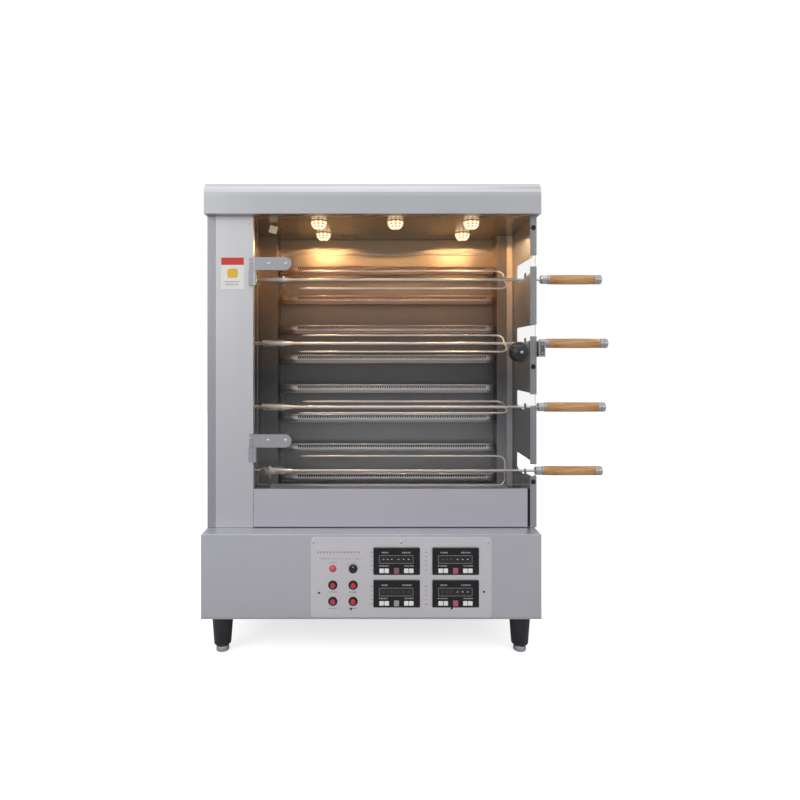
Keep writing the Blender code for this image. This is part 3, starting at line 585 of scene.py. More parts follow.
def addSpits():
    for i, z in enumerate(spitHeights):
        number = i + 1
        body = f"spit_assembly_{number}"
        centre = (0, spitY, z)
        rodEnd = spit["woodStart"][i] - spit["ferrule"] + 2 * mm
        start = spit["sleeveStart"]
        end = spit["sleeveEnd"]
        radius = spit["sleeve"]
        profile = [(start + 34 * mm, 0), (start + 34 * mm, spit["socket"]),
                   (start + 0.8 * mm, spit["socket"]),
                   (start, spit["socket"] + 0.8 * mm), (start, radius - 1 * mm), (start + 1 * mm, radius),
                   (start + 14 * mm, radius), (start + 14.6 * mm, radius - 0.6 * mm),
                   (start + 16 * mm, radius - 0.6 * mm),
                   (start + 16.6 * mm, radius), (end - 1 * mm, radius), (end, radius - 1 * mm),
                   (end + 6 * mm, radius - 2.5 * mm), (spit["taperEnd"] - 4 * mm, spit["rod"] + 0.6 * mm),
                   (spit["taperEnd"], spit["rod"]), (rodEnd, spit["rod"]), (rodEnd, 0)]
        mesh = bmesh.new()
        addTurned(mesh, "X", profile, 32)
        rod = piece(f"spit_rod_{number}", mesh, steel["rod"], body, centre)
        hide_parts(f"spit_{number}")
        route, out = forkRoute(spit["rolls"][i])
        mesh = bmesh.new()
        addWire(mesh, route, 14)
        for side in (-1, 1):
            weldBead = [(Vector((spit["bow"] - 5.5 * mm + 11 * mm * k / 6, 0, 0)) + out * side * 5.2 * mm,
                         (0.4 + 2.4 * math.sin(math.pi * k / 6)) * mm) for k in range(7)]
            addWire(mesh, weldBead, 10)
        piece(f"spit_fork_{number}", mesh, steel["rod"], body, centre)
        mesh = bmesh.new()
        along = Vector((1, 0, 0))
        normal = along.cross(out)
        for x, side in ((start + 22 * mm, 1), (start + 38 * mm, -1), (start + 54 * mm, 1)):
            where = Vector((x, 0, 0)) + out * side * (radius - 1 * mm)
            rings = []
            for rise, size in ((0, 3.4), (1.8, 3.4), (2.6, 2.8), (2.6, 1.5), (1.6, 1.4)):
                turns = [2 * math.pi * k / 6 for k in range(6)]
                centreOfRing = where + out * side * rise * mm
                rings.append([centreOfRing + (along * math.cos(t) + normal * math.sin(t)) * size * mm
                              for t in turns])
            addLoft(mesh, rings)
        piece(f"spit_set_screws_{number}", mesh, steel["screw"], body, centre, 0.2 * mm)
        addHandle(number, body, centre, spit["woodStart"][i], spit["woodLength"][i])
    addThumbScrew(spitHeights[3])


def addHandle(number, body, centre, start, length):
    radius = spit["wood"]
    neck = radius - 1.8 * mm
    mesh = bmesh.new()
    profile = [(start + 0.5 * mm, 0), (start + 0.5 * mm, radius - 1.5 * mm),
               (start + 3 * mm, radius - 0.3 * mm)]
    bulge = 12
    for step in range(bulge + 1):
        share = step / bulge
        swell = 0.5 * mm * math.sin(math.pi * share)
        profile.append((start + 6 * mm + (length - 12 * mm) * share, radius - 0.5 * mm + swell))
    profile += [(start + length - 3 * mm, radius - 0.3 * mm), (start + length - 0.5 * mm, radius - 1.5 * mm),
                (start + length - 0.5 * mm, 0)]
    addTurned(mesh, "X", profile, 40)
    grip = piece(f"handle_grip_{number}", mesh, wood, body, centre)
    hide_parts(f"spit_handle_{number}")
    mesh = bmesh.new()
    first = start - spit["ferrule"]
    ferrule = [(first, 0), (first, neck - 3 * mm), (first + 2 * mm, neck - 0.8 * mm), (first + 3 * mm, neck),
               (start - 8 * mm, neck), (start - 7 * mm, neck - 0.8 * mm), (start - 5 * mm, neck - 0.8 * mm),
               (start - 4 * mm, neck), (start - 3 * mm, radius - 0.6 * mm), (start, radius - 0.2 * mm),
               (start + 0.5 * mm, radius - 0.8 * mm), (start + 0.5 * mm, 0)]
    addTurned(mesh, "X", ferrule, 36)
    last = start + length
    cap = [(last - 0.5 * mm, 0), (last - 0.5 * mm, radius - 0.8 * mm), (last, radius - 0.2 * mm),
           (last + 8 * mm, radius - 0.2 * mm), (last + 8.6 * mm, radius - 1.6 * mm),
           (last + 10.4 * mm, radius - 1.6 * mm),
           (last + 11 * mm, radius - 0.2 * mm), (last + 21 * mm, radius - 0.2 * mm),
           (last + 23.5 * mm, radius - 1.6 * mm),
           (last + 24.5 * mm, radius - 4 * mm), (last + 24 * mm, radius - 7 * mm), (last + 24 * mm, 0)]
    addTurned(mesh, "X", cap, 36)
    piece(f"handle_ferrules_{number}", mesh, steel["ferrule"], body, centre)
    mesh = bmesh.new()
    addTurned(mesh, "X", [(last + 23 * mm, 0), (last + 23 * mm, 6.5 * mm), (last + 26.5 * mm, 6.5 * mm),
                          (last + 27.4 * mm, 5.4 * mm), (last + 28 * mm, 3 * mm), (last + 28 * mm, 0)], 6)
    piece(f"handle_nut_{number}", mesh, steel["screw"], body, centre, 0.3 * mm)


def addThumbScrew(z):
    mesh = bmesh.new()
    lobes = 5
    outline = []
    for k in range(40):
        turn = 2 * math.pi * k / 40
        radius = 17.5 * mm + 4.5 * mm * math.cos(lobes * turn)
        outline.append((radius * math.cos(turn), radius * math.sin(turn)))
    base = [Vector((x, -26 * mm, y)) for x, y in outline]
    rings = [[Vector((p.x * s, y, p.z * s)) for p in base] for y, s in
             ((-20 * mm, 0.9), (-21 * mm, 1.0), (-27 * mm, 1.0), (-28.5 * mm, 0.9), (-29 * mm, 0.5))]
    addLoft(mesh, rings)
    addTurned(mesh, "Y", [(-20.5 * mm, 0), (-20.5 * mm, 8 * mm), (-14 * mm, 7 * mm), (-14 * mm, 3 * mm),
                          (-10.5 * mm, 3 * mm), (-10.5 * mm, 0)], 24)
    piece("spit_thumb_screw", mesh, steel["rod"], "spit_assembly_4", (-0.342, spitY, z),
          0.4 * mm)


addSpits()
print("spits ready")


# Lamps: a rolled rim with a socket above it under the ceiling, a ribbed glass dome and a warm spot light inside
# it.
lamp = {"radius": 26.5 * mm, "drop": 26 * mm, "ribs": 10, "ribDepth": 1.6 * mm, "stepHeight": 8 * mm,
        "warmth": (1.0, 0.66, 0.34),
        "frontPower": 2.4, "rearPower": 6.0, "cone": 161, "glow": 1.5}


# Ribbed borosilicate, lit from inside: amber in the grooves, near white where the bulb shines through.
def litGlass(name, inner, outer, glow):
    material, tree = startMaterial(name)
    where = addNode(tree, "ShaderNodeTexCoord")
    around = addNode(tree, "ShaderNodeTexGradient", {"gradient_type": "RADIAL"}, {0: where.outputs["Object"]})
    ribs = addNode(tree, "ShaderNodeMath", {"operation": "MULTIPLY", 1: 2 * math.pi * lamp["ribs"]},
                   {0: around.outputs["Fac"]})
    ribWave = addNode(tree, "ShaderNodeMath", {"operation": "COSINE"}, {0: ribs.outputs[0]})
    parts = addNode(tree, "ShaderNodeSeparateXYZ", {}, {0: where.outputs["Object"]})
    steps = addNode(tree, "ShaderNodeMath", {"operation": "MULTIPLY", 1: 2 * math.pi / lamp["stepHeight"]},
                    {0: parts.outputs["Z"]})
    stepWave = addNode(tree, "ShaderNodeMath", {"operation": "SINE"}, {0: steps.outputs[0]})
    both = addNode(tree, "ShaderNodeMath", {"operation": "ADD"},
                   {0: ribWave.outputs[0], 1: stepWave.outputs[0]})
    share = addNode(tree, "ShaderNodeMapRange", {1: -1.5, 2: 1.5}, {0: both.outputs[0]})
    tone = addNode(tree, "ShaderNodeValToRGB", {}, {"Fac": share.outputs[0]})
    setRamp(tone, [(0.25, linear(outer)), (0.6, linear(inner))])
    seeds = addNode(tree, "ShaderNodeTexNoise", {"Scale": 1 / (6 * mm)}, {"Vector": where.outputs["Object"]})
    matt = addNode(tree, "ShaderNodeMapRange", {3: 0.05, 4: 0.16}, {0: seeds.outputs["Fac"]})
    shader = addNode(tree, "ShaderNodeBsdfPrincipled", {"IOR": 1.47, "Emission Strength": glow},
                     {"Base Color": tone.outputs[0], "Emission Color": tone.outputs[0],
                      "Roughness": matt.outputs[0]})
    endMaterial(tree, shader)
    return material


lampGlass = litGlass("ribbed borosilicate, lit", "#FFF4D0", "#C06E24", lamp["glow"])


def addLamps():
    for number in range(1, 6):
        low, high = cabinetBox(f"lamp_{number}")
        x = (low.x + high.x) / 2
        y = (low.y + high.y) / 2
        z = low.z + lamp["drop"]
        radius = lamp["radius"]
        mesh = bmesh.new()
        profile = [(-0.9 * mm, 0), (-0.9 * mm, radius - 3 * mm)]
        steps = 24
        for step in range(1, steps):
            turn = math.radians(90 * step / steps)
            ripple = 0.7 * mm * math.cos(4 * math.pi * step / steps * 2)
            profile.append((-1 * mm - 24.2 * mm * math.sin(turn),
                            (radius - 3 * mm) * math.cos(turn) ** 0.7 + ripple))
        profile.append((-25.4 * mm, 0))
        addTurned(mesh, "Z", profile, lamp["ribs"] * 6, ribs=lamp["ribs"], ribDepth=lamp["ribDepth"])
        dome = piece(f"lamp_dome_{number}", mesh, lampGlass, "cabinet", (x, y, z), smoothTo=60)
        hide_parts(f"lamp_{number}")
        mesh = bmesh.new()
        rim = [(0, 0), (0, radius - 0.6 * mm), (-0.4 * mm, radius), (-1.2 * mm, radius),
               (-1.6 * mm, radius - 0.5 * mm),
               (-0.8 * mm, radius - 2.0 * mm), (-0.8 * mm, 0)]
        addTurned(mesh, "Z", rim, 48)
        addTurned(mesh, "Z", [(20 * mm, 0), (20 * mm, 11 * mm), (18 * mm, 13 * mm), (-0.2 * mm, 13 * mm),
                              (-0.2 * mm, 0)], 32)
        piece(f"lamp_rim_{number}", mesh, steel["rod"], "cabinet", (x, y, z))
        dome.visible_shadow = False
        power = lamp["frontPower"] if number < 4 else lamp["rearPower"]
        addLight(f"lamp light {number}", "SPOT", place(x, y, z - 2 * mm), place(x, y, 0), power,
                 {"color": lamp["warmth"], "shadow_soft_size": 0.012, "spot_size": math.radians(lamp["cone"]),
                  "spot_blend": 0.06})


addLamps()
print("lamps ready")

# Door: a toughened pane with ground edges in two clamps, and a ball knob bolted through it.
door = {"corner": 6 * mm, "chamfer": 0.8 * mm, "knobX": 0.439, "knobZ": 0.891, "knobY": -0.050,
        "knobRadius": 31 * mm, "knobBore": 6 * mm, "knobSeat": 3.2 * mm,
        "bracketScrewX": -0.3665, "bracketScrewIn": 14 * mm, "bracketFace": -3.5 * mm}


def addDoor():
    low, high = cabinetBox("door_glass")
    front = low.y
    back = high.y
    mesh = bmesh.new()
    inset = door["chamfer"]
    outer = roundedOutline((low.x, low.z), (high.x, high.z), door["corner"])
    inner = roundedOutline((low.x + inset, low.z + inset), (high.x - inset, high.z - inset),
                           door["corner"] - inset)
    rings = [[Vector((u, y, v)) for u, v in outline] for y, outline in
             ((front, inner), (front + inset, outer), (back - inset, outer), (back, inner))]
    addLoft(mesh, rings)
    for face in mesh.faces:
        face.material_index = 0 if abs(face.normal.y) > 0.95 or len(face.verts) > 4 else 1
    pane = piece("door_pane", mesh, [doorGlass, glassEdge], "door")
    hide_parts("door_glass")
    addKnob(front, back)
    for which in ("upper", "lower"):
        addClampDetail(which, front, back)


def addKnob(front, back):
    centre = (door["knobX"], door["knobY"], door["knobZ"])
    radius = door["knobRadius"]
    mesh = bmesh.new()
    profile = [(-radius + 0.6 * mm, 0), (-radius + 0.6 * mm, 4.5 * mm)]
    start = math.asin(door["knobBore"] / radius)
    end = math.radians(158)  # where the ball runs into its neck
    steps = 26
    for step in range(steps + 1):
        turn = start + (end - start) * step / steps
        profile.append((-radius * math.cos(turn), radius * math.sin(turn)))
    seat = front - door["knobSeat"] - door["knobY"]
    profile += [(seat - 1 * mm, 11.5 * mm), (seat, 11.5 * mm), (seat, 0)]
    addTurned(mesh, "Y", profile, 48)
    ball = piece("knob_ball", mesh, plastic["gloss"], "door", centre)
    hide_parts("door_knob")
    mesh = bmesh.new()
    addTurned(mesh, "Y", [(-radius, 0), (-radius, 3.6 * mm), (-radius + 0.3 * mm, 4.2 * mm),
                          (-radius + 2 * mm, 4.2 * mm), (-radius + 2 * mm, 0)], 24)
    addTurned(mesh, "Y",
              [(seat, 0), (seat, 12.5 * mm), (seat + 0.6 * mm, 13.2 * mm), (seat + 3.0 * mm, 13.2 * mm),
                          (seat + 3.0 * mm, 0)], 32)
    rear = back - door["knobY"]
    addTurned(mesh, "Y", [(rear + 0.2 * mm, 0), (rear + 0.2 * mm, 9 * mm), (rear + 1.4 * mm, 9 * mm),
                          (rear + 1.6 * mm, 6 * mm), (rear + 4 * mm, 6 * mm), (rear + 4.4 * mm, 5 * mm),
                          (rear + 4.8 * mm, 0)], 6)
    piece("knob_collar_and_nut", mesh, steel["screw"], "door", centre)


def addScrew(mesh, centre, radius, height, facing=-1, drive=True):
    top = facing * height
    profile = [(0, 0), (0, radius), (top * 0.45, radius), (top * 0.8, radius * 0.82), (top, radius * 0.5)]
    if drive:
        profile += [(top, radius * 0.42), (top * 0.45, radius * 0.36), (top * 0.45, 0)]
    else:
        profile += [(top, 0)]
    addTurned(mesh, "Y", profile, 18, centre)


clampScrews = {"upper": ((-0.309, 1.159), (-0.257, 1.159)), "lower": ((-0.311, 0.625), (-0.258, 0.625))}


def addClampDetail(which, front, back):
    low, high = cabinetBox(f"hinge_clamp_{which}")
    face = low.y
    rear = high.y
    mesh = bmesh.new()
    for x, z in clampScrews[which]:
        addScrew(mesh, (x, face, z), 5.2 * mm, 2.6 * mm)
        addTurned(mesh, "Y",
                  [(rear, 0), (rear, 5 * mm), (rear + 1.6 * mm, 5 * mm), (rear + 2.2 * mm, 4.2 * mm),
                              (rear + 2.2 * mm, 0)], 6, (x, 0, z))
    piece(f"clamp_screws_{which}", mesh, steel["screw"], "door", bevel=0.15 * mm)
    bracketLow, bracketHigh = cabinetBox(f"hinge_bracket_{which}")
    mesh = bmesh.new()
    for z in (bracketLow.z + door["bracketScrewIn"], bracketHigh.z - door["bracketScrewIn"]):
        addScrew(mesh, (door["bracketScrewX"], door["bracketFace"], z), 3.4 * mm, 1.8 * mm)
    piece(f"bracket_screws_{which}", mesh, steel["screw"], "cabinet", bevel=0.1 * mm)


addDoor()
print("door ready")

# Fittings on the body: door magnet, rubber buffers, screws, and a black strip in the drawer's side gap as painted
# shade.
fitting = {"magnetTop": 0.921, "magnetLow": 0.881, "bufferX": 0.495, "bufferZ": (1.271, 0.847, 0.496),
           "bufferRadius": 7.5 * mm, "gapStripLow": (0.4780, 0.0032, 0.3590),
           "gapStripHigh": (0.4900, 0.0066, 0.4740)}


def addFittings():
    low, high = cabinetBox("door_catch")
    left = low.x
    right = high.x
    front = low.y
    mesh = bmesh.new()
    addBox(mesh, (left + 2.6 * mm, front + 2.2 * mm, fitting["magnetLow"]),
           (right - 1.5 * mm, front + 15 * mm, fitting["magnetTop"]))
    piece("catch_magnet", mesh, plastic["rubber"], "cabinet", bevel=0.6 * mm)
    mesh = bmesh.new()
    window = roundedOutline((left + 4.2 * mm, fitting["magnetLow"] + 1 * mm),
                            (right - 3.2 * mm, fitting["magnetTop"]),
                            1.5 * mm)
    addPlate(mesh, window, "Y", front - 0.7 * mm, front + 0.05 * mm)
    piece("catch_magnet_face", mesh, plastic["ferrite"], "cabinet", bevel=0.2 * mm)
    mesh = bmesh.new()
    for z in (fitting["magnetLow"] + 7 * mm, fitting["magnetTop"] - 6 * mm):
        addScrew(mesh, ((left + right) / 2 + 0.5 * mm, front - 0.6 * mm, z), 2.4 * mm, 0.9 * mm)
    piece("catch_screws", mesh, steel["screw"], "cabinet")
    mesh = bmesh.new()
    # A black rubber strip fills the gap beside the drawer: a dark sheet put where there is only shade, so the gap
    # reads dark.
    addBox(mesh, fitting["gapStripLow"], fitting["gapStripHigh"])
    piece("drawer_gap_shade_strip", mesh, plastic["rubber"], "cabinet", bevel=0.6 * mm)
    for number, z in enumerate(fitting["bufferZ"], 1):
        mesh = bmesh.new()
        radius = fitting["bufferRadius"]
        profile = [(0, 0), (0, radius), (-1.5 * mm, radius), (-5.2 * mm, radius - 1.2 * mm),
                   (-6.6 * mm, radius - 2.6 * mm), (-7.0 * mm, radius - 4.4 * mm),
                   (-5.6 * mm, radius - 5 * mm),
                   (-5.6 * mm, 0)]
        addTurned(mesh, "Y", profile, 32, (fitting["bufferX"], 0, z))
        piece(f"door_buffer_{number}", mesh, plastic["rubber"], "cabinet")
    mesh = bmesh.new()
    for z in (0.400, 0.760, 1.010, 1.270):
        for y in (0.300, 0.440):
            addTurned(mesh, "X", [(0.5055, 0), (0.5055, 4 * mm), (0.5070, 3.6 * mm), (0.5076, 2.4 * mm),
                                  (0.5070, 1.6 * mm), (0.5070, 0)], 18, (0, y, z))
            addTurned(mesh, "X", [(-0.5005, 0), (-0.5005, 4 * mm), (-0.5020, 3.6 * mm), (-0.5026, 2.4 * mm),
                                  (-0.5020, 1.6 * mm), (-0.5020, 0)], 18, (0, y, z))
    for z in (0.40, 0.62, 0.84, 1.06, 1.28):
        for x in (-0.488, 0.492):
            addTurned(mesh, "Y", [(0.4600, 0), (0.4600, 4 * mm), (0.4610, 3.6 * mm), (0.4616, 2.4 * mm),
                                  (0.4611, 1.6 * mm), (0.4611, 0)], 18, (x, 0, z))
    piece("body_screws", mesh, steel["screw"], "cabinet")


addFittings()
print("fittings ready")

# Feet: a tapered sleeve with a rolled shoulder, and a plated screw-in adjuster.
foot = {"top": 32 * mm, "low": 25 * mm, "sole": 19 * mm, "nub": 21 * mm}


def addFeet():
    for depth in ("front", "rear"):
        for side in ("left", "right"):
            low, high = cabinetBox(f"foot_{depth}_{side}")
            x = (low.x + high.x) / 2
            y = (low.y + high.y) / 2
            top = high.z
            mesh = bmesh.new()
            addTurned(mesh, "Z", [(top, 0), (top, foot["top"] - 1 * mm), (top - 1 * mm, foot["top"]),
                                  (top - 11 * mm, foot["top"]), (top - 12 * mm, foot["top"] - 0.6 * mm),
                                  (top - 13 * mm, foot["top"] - 1.6 * mm),
                                  (foot["nub"] + 2 * mm, foot["low"]),
                                  (foot["nub"], foot["low"] - 1.2 * mm), (foot["nub"], 0)], 48)
            sleeve = piece(f"foot_sleeve_{depth}_{side}", mesh, plastic["foot"], "cabinet",
                           (x, y, 0))
            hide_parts(f"foot_{depth}_{side}")
            mesh = bmesh.new()
            addTurned(mesh, "Z",
                      [(foot["nub"] + 1 * mm, 0), (foot["nub"] + 1 * mm, 15 * mm), (16 * mm, 15 * mm),
                                  (15 * mm, 17.4 * mm), (9 * mm, foot["sole"]), (2 * mm, foot["sole"]),
                                  (0, foot["sole"] - 2 * mm), (0, 0)], 40)
            piece(f"foot_adjuster_{depth}_{side}", mesh, steel["screw"], "cabinet", (x, y, 0))


addFeet()
print("feet ready")


# Control panel: four temperature controllers, four buttons, a selector, a lamp and their plain marks.
panel = {"screwHead": 4.5 * mm, "topScrews": (-0.169, 0.088, 0.344), "topScrewZ": 0.335,
         "darkScrews": ((-0.153, 0.186), (-0.059, 0.139), (0.236, 0.141), (0.330, 0.189)),
         "bezel": 13.5 * mm, "buttonRadius": 8 * mm, "ink": "#A3A2A8",
         "scaleRadius": 17 * mm, "scaleDot": 1.4 * mm}
# Places on a controller's face are millimetres from its left and top edges.
controller = {
    "window": {"left": 16.6, "right": 116.3, "top": 21.2, "bottom": 45.2, "line": 0.8},
    "keys": {"lefts": (17.3, 32.3, 89.5, 104.1), "width": 13.0, "top": 59.7, "height": 13.0},
    "middleKey": {"left": 59.9, "width": 15.0, "top": 57.8, "height": 16.9},
    "dashes": {"lefts": (27.2, 39.0, 50.9, 70.6, 85.5, 100.5), "middle": 33.0, "width": 5.1, "height": 1.8,
               "point": 0.8},
    "prints": ((23.7, 44.2, 11.0, 15.7), (83.6, 111.2, 11.0, 15.7),
               (15.8, 43.4, 50.3, 54.2), (90.7, 118.3, 50.3, 54.2)),
    "digits": {1: ("digitWhite",) * 6, 2: ("digitRed",) * 3 + ("digitWhite",) * 3, 3: ("digitDim",) * 6,
               4: ("digitRed",) * 3 + ("digitWhite",) * 3},
    "middleCaps": {1: "keyDull", 2: "keyPink", 3: "keyGrey", 4: "keyPink"},
}


# Screen-printed ink and film labels: flat, slightly rough colour with a faint print mottle.
def printedFilm(name, colour, roughness=0.5, glow=0.0):
    return mouldedPlastic(name, colour, roughness, grit=1.2 * mm, gritDepth=0.005 * mm, glow=glow)


inks = {
    "mark": printedFilm("grey screen-print ink", panel["ink"]),
    "white": printedFilm("white screen-print ink", "#A6A6AA"),
    "digitWhite": printedFilm("LED digit, white", "#C9C9CB", glow=0.15),
    "digitRed": printedFilm("LED digit, red", "#B04450", glow=0.15),
    "digitDim": printedFilm("LED digit, unlit", "#66666A"),
    "keyWhite": printedFilm("moulded key, white ABS", "#F2F2F0"),
    "keyGrey": printedFilm("moulded key, warm grey ABS", "#A79FA4"),
    "keyDull": printedFilm("moulded key, dull pink ABS", "#8E5F68"),
    "keyPink": printedFilm("moulded key, faded red ABS", "#B4606C"),
    "labelWhite": printedFilm("vinyl film, white", "#E9E9E6"),
    "labelRed": printedFilm("vinyl film, red", "#CF3B33"),
    "labelYellow": printedFilm("vinyl film, yellow", "#E5B93B"),
    # The card tag glows faintly. This is painted light standing in for the lamps' light on it.
    "tag": printedFilm("card tag, cream, painted glow", "#EADCC4", 0.7, glow=0.22),
}


def addMarks(mesh, left, right, low, high, y, seed, gap=0.35):
    maker = random.Random(seed)
    x = left
    height = high - low
    while x < right - 0.3 * height:
        width = min(height * maker.uniform(0.55, 1.0), right - x)
        inset = height * maker.uniform(0.0, 0.22)
        addBox(mesh, (x, y - 0.15 * mm, low + inset), (x + width, y + 0.1 * mm, high - inset * 0.5))
        x += width + height * gap


def addController(number):
    low, high = cabinetBox(f"controller_{number}")
    left = low.x
    right = high.x
    bottom = low.z
    top = high.z
    face = low.y
    seat = face + 5 * mm

    def at(fromLeft, fromTop):
        return left + fromLeft * mm, top - fromTop * mm

    mesh = bmesh.new()
    rings = []
    for y, inset, radius in ((seat, 0, 2), (face + 1.2 * mm, 0, 2), (face + 0.3 * mm, 0.4 * mm, 2),
                             (face, 1.2 * mm, 1.8), (face, 3.6 * mm, 1.4), (face + 0.9 * mm, 4.4 * mm, 1.2)):
        outline = roundedOutline((left + inset, bottom + inset), (right - inset, top - inset), radius * mm)
        rings.append([Vector((u, y, v)) for u, v in outline])
    addLoft(mesh, rings)
    box = 6 * mm
    addPlate(mesh, [(left + box, bottom + box), (right - box, bottom + box), (right - box, top - box),
                    (left + box, top - box)], "Y", seat + 0.3 * mm, 7.5 * mm)
    case = piece(f"controller_case_{number}", mesh, plastic["case"], "cabinet",
                 bevel=0.2 * mm)
    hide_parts(f"controller_{number}")

    glassY = face + 0.9 * mm
    window = controller["window"]
    outerLow = at(window["left"], window["bottom"])
    outerHigh = at(window["right"], window["top"])
    line = window["line"] * mm
    innerLow = (outerLow[0] + line, outerLow[1] + line)
    innerHigh = (outerHigh[0] - line, outerHigh[1] - line)
    mesh = bmesh.new()
    outer = roundedOutline(outerLow, outerHigh, 1.6 * mm)
    inner = roundedOutline(innerLow, innerHigh, 1.0 * mm)
    loops = [[Vector((u, y, v)) for u, v in outline] for outline, y in
             ((outer, glassY + 0.1 * mm), (outer, glassY - 0.4 * mm), (inner, glassY - 0.4 * mm),
              (inner, glassY + 0.1 * mm))]
    addLoft(mesh, loops + [loops[0]], caps=False)
    bmesh.ops.remove_doubles(mesh, verts=mesh.verts, dist=1e-6)
    for row, (start, end, upper, lower) in enumerate(controller["prints"]):
        markLow = at(start, lower)
        markHigh = at(end, upper)
        addMarks(mesh, markLow[0], markHigh[0], markLow[1], markHigh[1], glassY, number + 10 * row)
    piece(f"controller_print_{number}", mesh, inks["white"], "cabinet")
    mesh = bmesh.new()
    outline = [innerLow, (innerHigh[0], innerLow[1]), innerHigh, (innerLow[0], innerHigh[1])]
    addPlate(mesh, outline, "Y", glassY - 0.1 * mm, glassY + 0.3 * mm)
    piece(f"controller_window_{number}", mesh, plastic["gloss"], "cabinet")
    dashes = controller["dashes"]
    half = dashes["height"] / 2 * mm
    point = dashes["point"] * mm
    byColour = {}
    for start, kind in zip(dashes["lefts"], controller["digits"][number]):
        byColour.setdefault(kind, []).append(start)
    for kind, starts in byColour.items():
        mesh = bmesh.new()
        for start in starts:
            begin, middle = at(start, dashes["middle"])
            end = begin + dashes["width"] * mm
            outline = [(begin, middle), (begin + point, middle - half), (end - point, middle - half),
                       (end, middle), (end - point, middle + half), (begin + point, middle + half)]
            addPlate(mesh, outline, "Y", glassY - 0.3 * mm, glassY)
        piece(f"controller_{kind}_{number}", mesh, inks[kind], "cabinet")
    keys = controller["keys"]
    mesh = bmesh.new()
    for start in keys["lefts"]:
        addKey(mesh, at(start, keys["top"] + keys["height"]), at(start + keys["width"], keys["top"]), glassY)
    piece(f"controller_keys_{number}", mesh, inks["keyWhite"], "cabinet")
    key = controller["middleKey"]
    mesh = bmesh.new()
    addKey(mesh, at(key["left"], key["top"] + key["height"]), at(key["left"] + key["width"], key["top"]),
           glassY)
    piece(f"controller_middle_key_{number}", mesh, inks[controller["middleCaps"][number]], "cabinet")


def addKey(mesh, low, high, seat):
    rings = []
    for y, inset in ((seat + 0.4 * mm, 0), (seat - 0.9 * mm, 0), (seat - 1.3 * mm, 0.6 * mm),
                     (seat - 1.1 * mm, 3 * mm)):
        outline = roundedOutline((low[0] + inset, low[1] + inset), (high[0] - inset, high[1] - inset),
                                 max(1.4 * mm - inset * 0.4, 0.4 * mm), 3)
        rings.append([Vector((u, y, v)) for u, v in outline])
    addLoft(mesh, rings)


